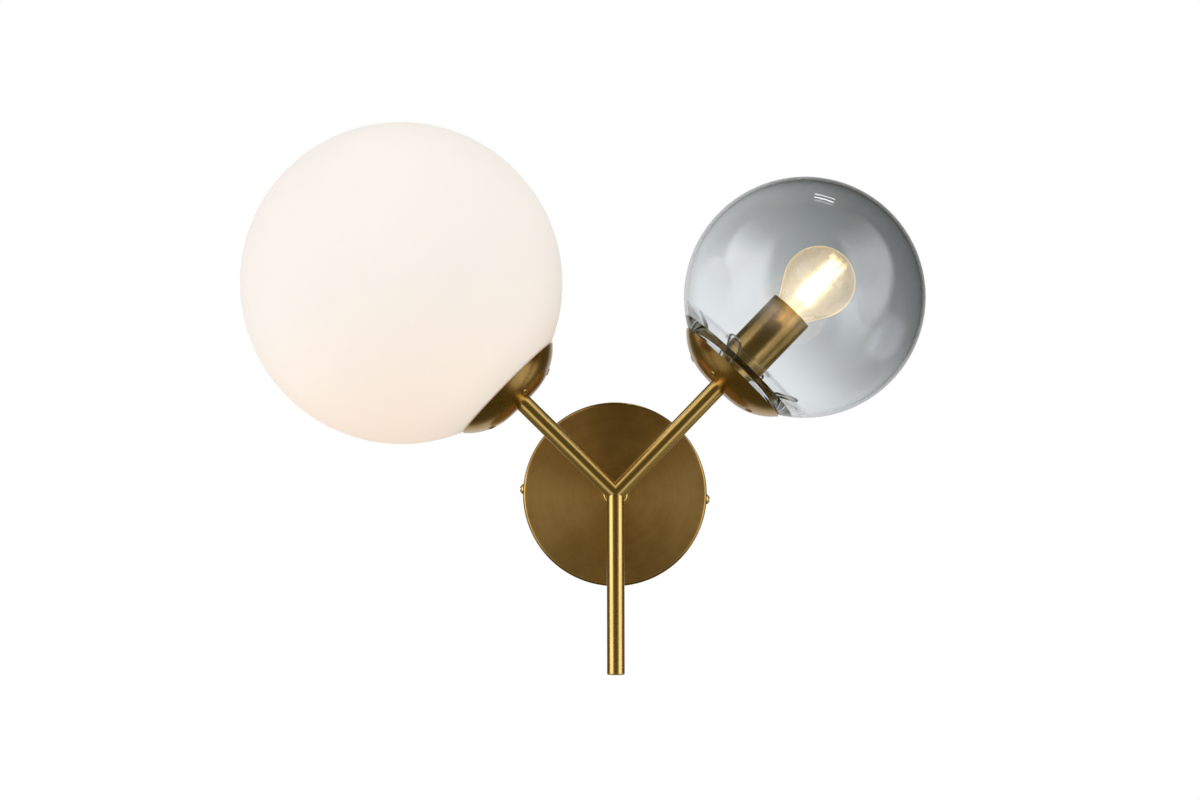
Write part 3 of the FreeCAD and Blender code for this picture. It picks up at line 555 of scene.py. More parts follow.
@dataclass(frozen=True)
class ClearGlass(Glass):
    """Clear glass, tinted from one height to another and darker where it is seen edge on.

    Above a given height the glass is thin: it hardly bends the light, and a coat gives its mirroring instead.
    """

    foot: Colour
    head: Colour
    tint_span: Span
    refraction: float = 1.46
    roughness: float = 0.002
    streak_cells: float = 22.0
    streak_roughness: float = 0.004
    thin_above: float | None = None
    thin_blend: float = 0.004
    thin_refraction: float = 1.08
    coat_refraction: float = 1.75
    coat_span: Span = (0.007, 0.052)
    coat_edge: Span = (0.35, 0.75)
    haze: float = 0.0
    haze_cells: float = 70.0
    haze_span: Span = (0.3, 0.7)
    haze_least: float = 0.5
    haze_more: float = 0.6
    haze_layers: tuple[Span, ...] = ((0.45, 1.0), (0.85, 0.5))
    haze_refraction: float = 1.35
    limb: float = 0.0
    limb_edge: Span = (0.2, 0.75)
    limb_tint: Colour = (0.30, 0.305, 0.30, 1.0)
    glow: float = 0.0
    glow_face: Colour = (0.105, 0.076, 0.045, 1.0)
    glow_rim: Colour = (0.58, 0.43, 0.21, 1.0)
    glow_edge: Span = (0.70, 0.90)
    shade: float = 0.9

    def paint(self, sheet: Sheet, shader: Node) -> Socket:
        """Tint by height and by the way the surface faces, and a light shadow.

        Args:
            sheet: The material's nodes.
            shader: Its principled shader.

        Returns:
            The shader output that goes to the surface.
        """
        place = sheet.place()
        streak = sheet.noise(place, self.streak_cells, detail=2.0)
        level = self.level(sheet, place, streak)
        tint = sheet.mixed(level.rising(*self.tint_span), self.foot, self.head)
        glass = self.body(sheet, shader, tint, streak, self.refraction, 0.0)
        if self.thin_above is not None:
            height = sheet.along(place, self.axis)
            low, high = (self.thin_above + rise for rise in self.coat_span)
            coat = sheet.facing().falling(*self.coat_edge) * height.rising(low, high)
            blown = sheet.add("ShaderNodeBsdfPrincipled")
            thin = self.body(sheet, blown, tint, streak, self.thin_refraction, coat)
            blend = height.rising(self.thin_above, self.thin_above + self.thin_blend)
            glass = sheet.blended(blend, glass, thin)
        if self.haze:
            patchy = sheet.noise(place, self.haze_cells, detail=2.0).rising(*self.haze_span)
            patchy = patchy * self.haze_more + self.haze_least
            for rough, share in self.haze_layers:
                hazy = sheet.add("ShaderNodeBsdfRefraction", sockets={
                    "Color": self.head, "Roughness": rough, "IOR": self.haze_refraction})
                glass = sheet.blended(patchy * (self.haze * share), glass, hazy.outputs[0])
        if self.limb:
            middle = sum(self.tint_span) / 2
            mask = sheet.facing().rising(*self.limb_edge) * level.rising(middle, self.tint_span[1])
            glass = sheet.blended(mask * self.limb, glass, sheet.see_through(self.limb_tint))
        clear = sheet.see_through(shaded(WHITE, self.shade))
        return sheet.blended(sheet.seen_by("Is Shadow Ray"), glass, clear)

    def body(self, sheet: Sheet, shader: Node, tint: Feed, streak: Signal, refraction: float,
             coat: Feed) -> Socket:
        """Sets up a shader of the glass itself.

        Args:
            sheet: The material's nodes.
            shader: A principled shader.
            tint: The colour of the light that comes through.
            streak: Soft noise for the surface.
            refraction: How strongly the glass bends light.
            coat: Weight of its mirroring surface.

        Returns:
            The shader's output.
        """
        sheet.fill(shader, {
            "Base Color": tint,
            "Roughness": streak.swing(self.streak_roughness) + self.roughness,
            "Transmission Weight": 1.0,
            "IOR": refraction,
            "Coat Weight": coat,
            "Coat IOR": self.coat_refraction})
        # painted glow: emission on the glass stands in for the bloom of the lit filaments, amber at the rim
        if self.glow:
            rim = sheet.facing().rising(*self.glow_edge)
            sheet.fill(shader, {"Emission Color": sheet.mixed(rim, self.glow_face, self.glow_rim),
                                "Emission Strength": self.glow})
        return shader.outputs[0]


@dataclass(frozen=True)
class Glow(Finish):
    """The coated filaments of the bulb, lit."""

    colour: Colour
    light: Colour
    strength: float
    grain_cells: float = 1800.0
    grain_span: Span = (0.3, 0.8)
    grain_depth: float = 0.0001
    grain_shade: float = 0.75

    def paint(self, sheet: Sheet, shader: Node) -> Socket:
        """A granular coating with a light that is a little uneven.

        Args:
            sheet: The material's nodes.
            shader: Its principled shader.

        Returns:
            The shader output that goes to the surface.
        """
        grain = sheet.noise(sheet.place(), self.grain_cells, detail=2.0)
        dim = shaded(self.light, self.grain_shade)
        sheet.fill(shader, {
            "Base Color": self.colour,
            "Emission Color": sheet.mixed(grain.rising(*self.grain_span), self.light, dim),
            "Emission Strength": self.strength,
            "Normal": sheet.bump(grain, self.grain_depth)})
        return shader.outputs[0]


class Outline:
    """A closed outline of radius and height, drawn point by point and spun about the Z axis."""

    def __init__(self, radius: float, height: float) -> None:
        """Starts the outline at a point."""
        self.points: list[tuple[float, float]] = [(radius, height)]

    def to(self, radius: float, height: float) -> "Outline":
        """A straight edge to a point."""
        self.points.append((radius, height))
        return self

    def around(self, centre_radius: float, centre_height: float, radius: float, height: float,
               step: float = ARC_STEP) -> "Outline":
        """An arc of under a half circle.

        Args:
            centre_radius: Radius of its centre.
            centre_height: Height of its centre.
            radius: Radius of its end.
            height: Height of its end.
            step: Largest turn between two points.

        Returns:
            The outline itself.
        """
        last_radius, last_height = self.points[-1]
        first = math.atan2(last_height - centre_height, last_radius - centre_radius)
        last = math.atan2(height - centre_height, radius - centre_radius)
        sweep = (last - first + math.pi) % math.tau - math.pi
        reach = math.hypot(last_radius - centre_radius, last_height - centre_height)
        count = max(2, math.ceil(abs(sweep) / step))
        for i in range(1, count + 1):
            angle = first + sweep * i / count
            self.to(centre_radius + reach * math.cos(angle), centre_height + reach * math.sin(angle))
        return self

    def spun(self, name: str, place: Matrix, segments: int = 128) -> Piece:
        """Spins the outline into a closed piece, with its faces outward whichever way it was drawn.

        Args:
            name: The piece's name.
            place: Where its own frame lies in the lamp's frame.
            segments: Number of faces round it.

        Returns:
            The new piece.
        """
        build = bmesh.new()
        following = self.points[1:] + self.points[:1]
        area = sum(a[0] * b[1] - b[0] * a[1] for a, b in zip(self.points, following))
        points = self.points if area > 0 else self.points[::-1]
        skin_rings(build, [ring_of_points(build, radius, height, segments) for radius, height in points])
        return finished(name, build, place)


def ring_of_points(build: Build, radius: float, height: float, segments: int) -> list[Point]:
    """A ring of points about the Z axis, or a single point on it.

    Args:
        build: The mesh under construction.
        radius: Radius of the ring.
        height: Its height.
        segments: Number of its points.

    Returns:
        The points.
    """
    turns = [math.tau * i / segments for i in range(segments)] if abs(radius) > ON_AXIS else [0.0]
    return [build.verts.new((radius * math.cos(turn), radius * math.sin(turn), height)) for turn in turns]


def skin_rings(build: Build, rings: list[list[Point]]) -> None:
    """Faces between each ring of points and the next, and between the last and the first.

    Args:
        build: The mesh under construction.
        rings: The rings, each with the same number of points or a single one on the axis.
    """
    for ring, following in zip(rings, rings[1:] + rings[:1]):
        count = max(len(ring), len(following))
        for i in range(count if count > 1 else 0):
            after = (i + 1) % count
            corners = [ring[i % len(ring)], ring[after % len(ring)],
                       following[after % len(following)], following[i % len(following)]]
            build.faces.new(list(dict.fromkeys(corners)))


def finished(name: str, build: Build, place: Matrix) -> Piece:
    """Turns a built mesh into a piece with smooth faces and sharp edges.

    Args:
        name: The piece's name.
        build: The mesh under construction, which is freed.
        place: Where the piece's own frame lies in the lamp's frame.

    Returns:
        The new piece.
    """
    mesh = bpy.data.meshes.new(name)
    build.to_mesh(mesh)
    build.free()
    smoothed(mesh)
    piece = bpy.data.objects.new(name, mesh)
    piece.matrix_world = place
    bpy.context.scene.collection.objects.link(piece)
    return piece


def smoothed(mesh: bpy.types.Mesh) -> None:
    """Smooth faces, with an edge where they meet at a marked angle."""
    mesh.shade_smooth()
    mesh.set_sharp_from_angle(angle=SHARP_EDGE)


def merged(name: str, pieces: Sequence[Piece]) -> Piece:
    """One piece out of several, in the frame of the first.

    Args:
        name: The new piece's name.
        pieces: The pieces, which are removed.

    Returns:
        The new piece.
    """
    place = pieces[0].matrix_world.copy()
    build = bmesh.new()
    for piece in pieces:
        mesh = piece.data.copy()
        mesh.transform(place.inverted() @ piece.matrix_world)
        build.from_mesh(mesh)
        bpy.data.meshes.remove(mesh)
        bpy.data.objects.remove(piece)
    return finished(name, build, place)


def drilled(piece: Piece, cutters: Iterable[Piece]) -> Piece:
    """Cuts holes in a piece.

    Args:
        piece: The piece.
        cutters: Pieces in the shape of the holes, which are removed.

    Returns:
        The same piece.
    """
    cutters = list(cutters)
    bpy.context.view_layer.update()
    for cutter in cutters:
        hole = piece.modifiers.new("hole", "BOOLEAN")
        hole.operation = "DIFFERENCE"
        hole.solver = "EXACT"
        hole.object = cutter
    cut = bpy.data.meshes.new_from_object(piece.evaluated_get(bpy.context.evaluated_depsgraph_get()))
    piece.modifiers.clear()
    piece.data = cut
    cut.name = piece.name
    smoothed(cut)
    for cutter in cutters:
        bpy.data.objects.remove(cutter)
    return piece


def rod(name: str, radius: float, low: float, high: float, place: Matrix, segments: int = 32) -> Piece:
    """A plain round bar about the Z axis, for a hole or a wire."""
    return Outline(0.0, low).to(radius, low).to(radius, high).to(0.0, high).spun(name, place, segments)


def settled(piece: Piece, finish: Finish, body: str, *nodes: str) -> None:
    """Gives a piece its finish, makes it ride on a body and stand for frame nodes, and reports it.

    Args:
        piece: The piece.
        finish: Its finish.
        body: The body that it rides on.
        nodes: The frame nodes that it stands for.
    """
    finish.put_on(piece)
    bpy.context.view_layer.update()
    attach(piece, body)
    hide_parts(*nodes)
    log.info("%s: %d faces on %s", piece.name, len(piece.data.polygons), body)


def axes(origin: Vector, x: Vector, y: Vector, z: Vector) -> Matrix:
    """The matrix of a frame.

    Args:
        origin: Its origin.
        x: Its X axis.
        y: Its Y axis.
        z: Its Z axis.

    Returns:
        The matrix.
    """
    place = Matrix((x, y, z)).transposed().to_4x4()
    place.translation = origin
    return place


def joint_named(name: str) -> dict:
    """The frame's joint of this name."""
    return next(joint for joint in frame["record"]["behaviour"]["joints"] if joint["name"] == name)


def arm_axis(slide: str) -> Vector:
    """The direction of an arm, from the slide of its globe."""
    return Vector(joint_named(slide)["axis"]).normalized()


RIGHT = Vector((1, 0, 0))
FRONT = Vector((0, -1, 0))
UP = Vector((0, 0, 1))
WALL = axes(Vector((0, 0, 0)), RIGHT, UP, FRONT)

WHITE: Colour = (1.0, 1.0, 1.0, 1.0)
SATIN: Colour = (0.79, 0.55, 0.195, 1.0)
SATIN_DEEP: Colour = (0.55, 0.355, 0.105, 1.0)
SLEEVE: Colour = (0.66, 0.45, 0.18, 1.0)
SLEEVE_DEEP: Colour = (0.46, 0.29, 0.10, 1.0)
ANTIQUE: Colour = (0.59, 0.385, 0.13, 1.0)
ANTIQUE_DEEP: Colour = (0.40, 0.24, 0.07, 1.0)
STEEL: Colour = (0.62, 0.62, 0.61, 1.0)
STEEL_DEEP: Colour = (0.42, 0.42, 0.41, 1.0)
PALE_NICKEL: Colour = (0.72, 0.69, 0.62, 1.0)
PALE_NICKEL_DEEP: Colour = (0.5, 0.48, 0.43, 1.0)

TURNED_PLATE = Metal("turned_plate_brass", "antique_brass", ANTIQUE, ANTIQUE_DEEP, 0.50, Grain.AROUND,
                     marks_per_metre=1100.0, mark_tone=0.6, anisotropic=0.65, bright_edge=0.0638)
SPUN_CUP = Metal("spun_cup_brass", "antique_brass", ANTIQUE, ANTIQUE_DEEP, 0.22, Grain.AROUND,
                 mark_depth=0.000003, anisotropic=0.2)
SCREW_BRASS = Metal("screw_brass", "antique_brass", SATIN, SATIN_DEEP, 0.25)
DRAWN_SLEEVE = Metal("drawn_sleeve_brass", "satin_brass", SLEEVE, SLEEVE_DEEP, 0.24, Grain.AROUND,
                     mark_depth=0.000006)
PLAIN_BRASS = Metal("plain_brass", "satin_brass", SATIN, SATIN_DEEP, 0.28)
ZINC = Metal("zinc_plate", "zinc_steel", STEEL, STEEL_DEEP, 0.34)
SPRING_WIRE = Metal("spring_wire", "spring_steel", STEEL, STEEL_DEEP, 0.16, mark_depth=0.000004)
NICKEL = Metal("nickel_plate", "nickel", PALE_NICKEL, PALE_NICKEL_DEEP, 0.2)
BLACK = Moulded("black_moulding", "black_plastic", (0.018, 0.018, 0.018, 1.0), 0.38)
PALE = Moulded("white_moulding", "white_plastic", (0.78, 0.78, 0.75, 1.0), 0.4)
RUBBER = Moulded("clear_rubber_ring", "clear_rubber", (0.66, 0.65, 0.61, 1.0), 0.5)
BROWN_LEAD = Moulded("brown_lead_skin", "brown_insulation", (0.12, 0.045, 0.018, 1.0), 0.42)
BLUE_LEAD = Moulded("blue_lead_skin", "blue_insulation", (0.02, 0.07, 0.3, 1.0), 0.42)
EARTH_LEAD = Moulded("earth_lead_skin", "earth_insulation", (0.05, 0.25, 0.04, 1.0), 0.42,
                     stripe=(0.75, 0.55, 0.03, 1.0))
FILAMENT = Glow("lit_filament", "filament_coating", (0.9, 0.75, 0.35, 1.0), (1.0, 0.80, 0.46, 1.0),
                strength=26.0)
# painted glow: the opal's emission stands in for its bulb's light, with painted shade at the neck
LIT_OPAL = OpalGlass("lit_opal_glass", "opal_glass", milk=(0.79, 0.77, 0.745, 1.0),
                     lit=(0.68, 0.625, 0.58, 1.0), warm_glow=(1.0, 0.66, 0.40, 1.0), dim=(0.55, 0.42, 0.28, 1.0),
                     warm_glow_span=(-0.05, 0.10), lean=0.8, drift=0.03)
SMOKE = ClearGlass("smoke_tinted_glass", "smoked_glass", foot=(0.87, 0.893, 0.905, 1.0),
                   head=(0.485, 0.51, 0.525, 1.0), tint_span=(0.012, 0.134), thin_above=0.009, limb=0.16,
                   shade=0.75)


@dataclass
class WallPlate:
    """The turned brass plate, its side screws and what it covers on the wall, with sizes in metres."""

    radius: float = 0.060
    depth: float = 0.025
    wall: float = 0.0012
    edge: float = 0.002
    edge_step: float = math.radians(11.0)
    inner_edge_step: float = math.radians(22.0)
    segments: int = 192
    stem_hole: float = 0.0051
    screw_hole: float = 0.0024
    screw_height: float = 0.0125
    screw_turn: float = math.radians(3.35)
    cutter_shares: Span = (0.9, 1.1)

    def build(self) -> None:
        """Builds the plate and dresses the rest."""
        inside = self.radius - self.wall
        corner = self.radius - self.edge
        level = self.depth - self.edge
        floor = self.depth - self.wall
        outline = Outline(self.radius, 0.0).to(self.radius, level)
        outline.around(corner, level, corner, self.depth, self.edge_step).to(self.stem_hole, self.depth)
        outline.to(self.stem_hole, floor).to(corner, floor)
        outline.around(corner, level, inside, level, self.inner_edge_step).to(inside, 0.0)
        plate = outline.spun("wall_plate", WALL, self.segments)
        drilled(plate, [self.side_hole(side) for side in (-1, 1)])
        settled(plate, TURNED_PLATE, FIXTURE, "canopy")
        SCREW_BRASS.dress("side_screw_left", "side_screw_right")
        ZINC.dress("mounting_bracket", "bracket_earth_screw", "terminal_screws", "terminal_block_screw",
                   "stem_washer", "stem_lock_nut")
        PALE.dress("terminal_block", "stem_bushing")
        PLAIN_BRASS.dress("terminal_sleeves")
        EARTH_LEAD.dress("earth_lead")
        BROWN_LEAD.dress("left_live_lead", "right_live_lead")
        BLUE_LEAD.dress("left_neutral_lead", "right_neutral_lead")

    def side_hole(self, side: int) -> Piece:
        """A cutter for the hole of a side screw.

        Args:
            side: -1 for the left screw and 1 for the right one.

        Returns:
            The cutter.
        """
        out = Vector((side * math.cos(self.screw_turn), 0.0, -side * math.sin(self.screw_turn)))
        place = out.to_track_quat("Z", "Y").to_matrix().to_4x4()
        place.translation = Vector((0.0, -self.screw_height, 0.0))
        low, high = (self.radius * share for share in self.cutter_shares)
        return rod("side_hole", self.screw_hole, low, high, place)


@dataclass
class Tubes:
    """The stem, the two arms and the drop tube, brazed into a Y."""

    roughness: float = 0.24
    mark_depth: float = 0.0000015
    mark_tone: float = 0.12
    patina: float = 0.2

    def build(self) -> None:
        """Dresses each tube with marks that run along it."""
        for node, axis in (("left_arm", arm_axis("opal_globe_slide")),
                           ("right_arm", arm_axis("smoked_globe_slide")),
                           ("drop_tube", -UP),
                           ("stem", FRONT)):
            Metal(node + "_brass", "satin_brass", SATIN, SATIN_DEEP, self.roughness, Grain.ALONG,
                  axis=tuple(axis), mark_depth=self.mark_depth, mark_tone=self.mark_tone,
                  patina=self.patina).dress(node)
        PLAIN_BRASS.dress("drop_tube_plug")


@dataclass
class Head:
    """One end of an arm: the cup, the lampholder, the globe and the bulb, with sizes in metres."""

    side: str
    globe: str
    globe_radius: float
    clip_turn: float
    glass: Glass
    place: Matrix = field(init=False)

    rim_radius: float = 0.0395
    cup_depth: float = 0.0136
    flat_radius: float = 0.010
    cup_wall: float = 0.001
    cup_step: float = math.radians(2.0)
    cup_segments: int = 160
    nipple_hole: float = 0.00405
    rivet_circle: float = 0.025
    rivet_barrel: float = 0.0015
    rivet_bore: float = 0.0010
    rivet_head: float = 0.0024
    rivet_foot: float = 0.0030
    rivet_flange: float = 0.0005
    rivet_grip: float = 0.0015
    rivet_crown_share: float = 0.3
    rivet_cut: Span = (-0.001, 0.002)
    rivet_segments: int = 32
    clip_count: int = 4
    cover_radius: float = 0.0145
    cover_low: float = -0.0078
    cover_high: float = 0.0532
    cover_wall: float = 0.0008
    cover_round: float = 0.0015
    cover_step: float = 0.2
    cover_lip_share: float = 0.3
    glass_wall: float = 0.0026
    globe_step: float = math.radians(2.2)
    globe_segments: int = 192
    neck_outer: float = 0.0345
    neck_inner: float = 0.0310
    neck_shelf: float = 0.0075
    neck_lip: float = 0.0009
    rim_gap: float = 0.0003
    seat_gap: float = 0.00045

    def __post_init__(self) -> None:
        """Works out the head's frame, with the rim of the cup at height 0, and the bowl's arc."""
        along = arm_axis(self.globe + "_slide")
        rim = Vector(joint_named(self.side + "_bulb_turn")["pos_m"])
        self.place = axes(rim, FRONT.cross(along), FRONT, along)
        reach = self.rim_radius - self.flat_radius
        self.bowl_radius = (reach ** 2 + self.cup_depth ** 2) / (2 * self.cup_depth)
        self.bowl_centre = self.bowl_radius - self.cup_depth
        inner = self.bowl_radius - self.cup_wall
        self.rim_inside = self.flat_radius + math.sqrt(inner ** 2 - self.bowl_centre ** 2)

    def build(self) -> None:
        """Builds or dresses every piece of the head."""
        self.build_cup()
        self.build_rivets()
        self.build_cover()
        self.build_globe()
        ZINC.dress(self.side + "_nipple", self.side + "_cup_washer", self.side + "_cup_nut")
        SPRING_WIRE.dress(self.side + "_globe_clips")
        RUBBER.dress(self.side + "_globe_gasket")
        BLACK.dress(self.side + "_holder_base", self.side + "_holder_body")
        PLAIN_BRASS.dress(self.side + "_holder_shell", self.side + "_holder_contact")
        Bulb(self.side, self.place).build()

    def rivet_places(self) -> list[Matrix]:
        """Where the rivets go, on the outside of the bowl.

        Returns:
            The frame of each rivet, which points into the bowl.
        """
        lean = math.asin((self.rivet_circle - self.flat_radius) / self.bowl_radius)
        height = self.bowl_centre - self.bowl_radius * math.cos(lean)
        tilt = Matrix.Rotation(-lean, 4, "Y")
        out = Matrix.Translation((self.rivet_circle, 0.0, height))
        turns = [self.clip_turn + math.tau * i / self.clip_count for i in range(self.clip_count)]
        return [self.place @ Matrix.Rotation(turn, 4, "Z") @ out @ tilt for turn in turns]

    def build_cup(self) -> None:
        """Spins the bowl and drills it for its rivets."""
        floor = self.cup_wall - self.cup_depth
        outline = Outline(self.nipple_hole, -self.cup_depth).to(self.flat_radius, -self.cup_depth)
        outline.around(self.flat_radius, self.bowl_centre, self.rim_radius, 0.0, self.cup_step)
        outline.to(self.rim_inside, 0.0)
        outline.around(self.flat_radius, self.bowl_centre, self.flat_radius, floor, self.cup_step)
        outline.to(self.nipple_hole, floor)
        cup = outline.spun(self.side + "_spun_cup", self.place, self.cup_segments)
        drilled(cup, [rod("rivet_hole", self.rivet_barrel, *self.rivet_cut, place)
                      for place in self.rivet_places()])
        settled(cup, SPUN_CUP, FIXTURE, self.side + "_cup")

    def build_rivets(self) -> None:
        """Turns the hollow rivets, each with a rolled edge outside and a spread foot inside."""
        foot = self.cup_wall + self.rivet_grip
        lip = self.rivet_flange
        roll = lip / 2
        rivets = []
        for place in self.rivet_places():
            outline = Outline(self.rivet_bore, -lip + roll)
            outline.around(self.rivet_bore + roll, -lip + roll, self.rivet_bore + roll, -lip, LIP_STEP)
            outline.to(self.rivet_head - lip, -lip).to(self.rivet_head, -roll * self.rivet_crown_share)
            outline.to(self.rivet_head, 0.0).to(self.rivet_barrel, 0.0).to(self.rivet_barrel, foot)
            outline.to(self.rivet_foot, foot).to(self.rivet_foot, foot + lip).to(self.rivet_bore, foot + lip)
            rivets.append(outline.spun("rivet", place, self.rivet_segments))
        hollow = merged(self.side + "_hollow_rivets", rivets)
        settled(hollow, PLAIN_BRASS, FIXTURE, self.side + "_clip_rivets")

    def build_cover(self) -> None:
        """Draws the brass sleeve over the lampholder, with a rounded foot and a rolled lip."""
        low, high, radius = self.cover_low, self.cover_high, self.cover_radius
        inside = radius - self.cover_wall
        bend = low + self.cover_round
        corner = radius - self.cover_round
        lip = self.cover_wall * self.cover_lip_share
        outline = Outline(self.nipple_hole, low).to(corner, low)
        outline.around(corner, bend, radius, bend, self.cover_step).to(radius, high - lip)
        outline.around(radius - lip, high - lip, radius - lip, high, LIP_STEP).to(inside + lip, high)
        outline.around(inside + lip, high - lip, inside, high - lip, LIP_STEP).to(inside, bend)
        outline.around(corner, bend, corner, low + self.cover_wall, self.cover_step)
        outline.to(self.nipple_hole, low + self.cover_wall)
        cover = outline.spun(self.side + "_brass_sleeve", self.place)
        settled(cover, DRAWN_SLEEVE, FIXTURE, self.side + "_holder_cover")

    def build_globe(self) -> None:
        """Blows the globe, with a thick shelf round its opening."""
        radius = self.globe_radius
        inside = radius - self.glass_wall
        centre = math.sqrt((radius + self.rim_gap) ** 2 - self.rim_inside ** 2)
        seat = self.bowl_radius - self.cup_wall - self.seat_gap
        low = self.bowl_centre - math.sqrt(seat ** 2 - (self.neck_outer - self.flat_radius) ** 2)
        top = centre - math.sqrt(radius ** 2 - self.neck_outer ** 2)
        shelf = self.neck_shelf
        shelf_radius = math.sqrt(inside ** 2 - (centre - shelf) ** 2)
        lip = self.neck_lip
        outer, inner = self.neck_outer - lip, self.neck_inner + lip
        outline = Outline(inner, low).to(outer, low)
        outline.around(outer, low + lip, self.neck_outer, low + lip, LIP_STEP).to(self.neck_outer, top)
        outline.around(0.0, centre, 0.0, centre + radius, self.globe_step).to(0.0, centre + inside)
        outline.around(0.0, centre, shelf_radius, shelf, self.globe_step).to(inner, shelf)
        outline.around(inner, shelf - lip, self.neck_inner, shelf - lip, LIP_STEP)
        outline.to(self.neck_inner, low + lip).around(inner, low + lip, inner, low, LIP_STEP)
        globe = outline.spun(self.globe + "_glass", self.place, self.globe_segments)
        self.turn_into_mesh(globe)
        axis, across = (tuple(self.place.col[i][:3]) for i in (2, 0))
        settled(globe, replace(self.glass, axis=axis, across=across), self.globe, self.globe)

    def turn_into_mesh(self, piece: Piece) -> None:
        """Puts the head's turn into a piece's mesh, so that the piece's box is no larger than its glass."""
        piece.data.transform(self.place.to_3x3().to_4x4())
        piece.matrix_world = Matrix.Translation(self.place.translation)


@dataclass
class Bulb:
    """The round bulb: screw cap, clear glass, glass stem and lit filaments, with sizes in metres.

    A share is of the radius it goes with. The stem's foot and taper hold pairs: a share of a radius, and a
    height as a share of the foot's radius.
    """

    side: str
    place: Matrix
    start: float = 0.0245
    length: float = 0.0763
    radius: float = 0.0225
    wall: float = 0.0007
    neck: float = 0.0079
    glass_step: float = math.radians(3.0)
    glass_segments: int = 128
    thin_early: float = 0.007
    cap_radius: float = 0.00695
    cap_wall: float = 0.00045
    cap_inset_walls: float = 2.2
    cap_shoulder_share: float = 0.75
    cap_floor_share: float = 0.6
    cap_rows: int = 60
    cap_segments: int = 64
    skirt: float = 0.0086
    thread_start: float = 0.0037
    thread_end: float = 0.0165
    cap_length: float = 0.023
    thread_pitch: float = 0.00282
    thread_depth: float = 0.00045
    contact_radius: float = 0.0024
    contact_thick: float = 0.0015
    contact_gap: float = 0.0001
    glass_stem: float = 0.0015
    stem_foot: Span = (0.75, 0.35)
    stem_taper: tuple[Span, ...] = ((1.7, 1.0), (1.15, 1.5), (1.0, 2.0))
    stem_segments: int = 48
    filament_count: int = 4
    filament_length: float = 0.032
    filament_radius: float = 0.0008
    filament_circle: float = 0.0036
    filament_segments: int = 20
    wire: float = 0.00035
    wire_segments: int = 12
    collar_gap: float = 0.00005
    collar_segments: int = 32

    def __post_init__(self) -> None:
        """Works out the heights that follow from the bulb's sizes."""
        self.tip = self.start + self.length
        self.centre = self.tip - self.radius
        self.cap_end = self.start + self.cap_length
        self.glass_bottom = self.start + self.thread_end + 2 * self.cap_wall + self.skirt - self.cap_radius
        self.filament_bottom = self.centre - self.filament_length / 2
        self.body = self.side + "_bulb"

    def build(self) -> None:
        """Builds every piece of the bulb."""
        self.build_glass()
        self.build_cap()
        self.build_stem()
        self.build_filaments()
        self.build_frame()
        NICKEL.dress(self.side + "_bulb_end_contact")

    def touch(self, radius: float, height: float, sphere: float) -> tuple[float, float]:
        """Where a straight line from the neck touches the bulb's sphere.

        Args:
            radius: Radius of the neck.
            height: Height of its end.
            sphere: Radius of the sphere.

        Returns:
            Radius and height of the place.
        """
        drop = self.centre - height
        angle = math.atan2(radius, drop) + math.acos(sphere / math.hypot(radius, drop))
        return sphere * math.sin(angle), self.centre - sphere * math.cos(angle)

    def build_glass(self) -> None:
        """Blows the bulb's glass."""
        inner_neck = self.neck - self.wall
        inner = self.radius - self.wall
        shoulder = self.cap_end + self.wall
        outline = Outline(0.0, self.glass_bottom).to(self.neck, self.glass_bottom).to(self.neck, shoulder)
        outline.to(*self.touch(self.neck, shoulder, self.radius))
        outline.around(0.0, self.centre, 0.0, self.tip, self.glass_step).to(0.0, self.tip - self.wall)
        outline.around(0.0, self.centre, *self.touch(inner_neck, shoulder, inner), self.glass_step)
        outline.to(inner_neck, shoulder).to(inner_neck, self.glass_bottom + self.wall)
        outline.to(0.0, self.glass_bottom + self.wall)
        glass = outline.spun(self.body + "_clear_glass", self.place, self.glass_segments)
        # the glow paints the filaments' bloom onto the bulb's glass
        finish = ClearGlass("bulb_glass", "clear_glass", foot=(0.985, 0.965, 0.91, 1.0),
                            head=(0.995, 0.985, 0.95, 1.0), tint_span=(self.cap_end, self.centre),
                            haze=0.25, glow=2.2, thin_above=self.cap_end - self.thin_early)
        settled(glass, finish, self.body, self.side + "_bulb_glass")

    def build_cap(self) -> None:
        """Rolls the screw cap with its real thread."""
        low = self.start + self.thread_start
        high = self.start + self.thread_end
        flare = high + self.skirt - self.cap_radius
        bottom = self.start + self.contact_thick / 2 + self.contact_gap
        hole = self.contact_radius + self.contact_gap
        inside = self.cap_radius - self.cap_inset_walls * self.cap_wall
        skirt_inside = self.skirt - self.cap_wall
        foot = [(hole, bottom + self.cap_wall), (hole, bottom),
                (self.cap_radius * self.cap_shoulder_share, low - self.cap_wall)]
        skirt = [(self.skirt, flare), (self.skirt, self.cap_end), (skirt_inside, self.cap_end),
                 (skirt_inside, flare + self.cap_wall), (inside, high + self.cap_wall),
                 (inside, low + self.cap_wall), (self.cap_radius * self.cap_floor_share, low + self.cap_wall)]
        build = bmesh.new()
        rings = [ring_of_points(build, radius, height, self.cap_segments) for radius, height in foot]
        for row in range(self.cap_rows + 1):
            rings.append(self.threaded_ring(build, low + (high - low) * row / self.cap_rows, low, high))
        rings += [ring_of_points(build, radius, height, self.cap_segments) for radius, height in skirt]
        skin_rings(build, rings)
        bmesh.ops.recalc_face_normals(build, faces=build.faces)
        cap = finished(self.body + "_screw_cap", build, self.place)
        settled(cap, NICKEL, self.body, self.side + "_bulb_cap")

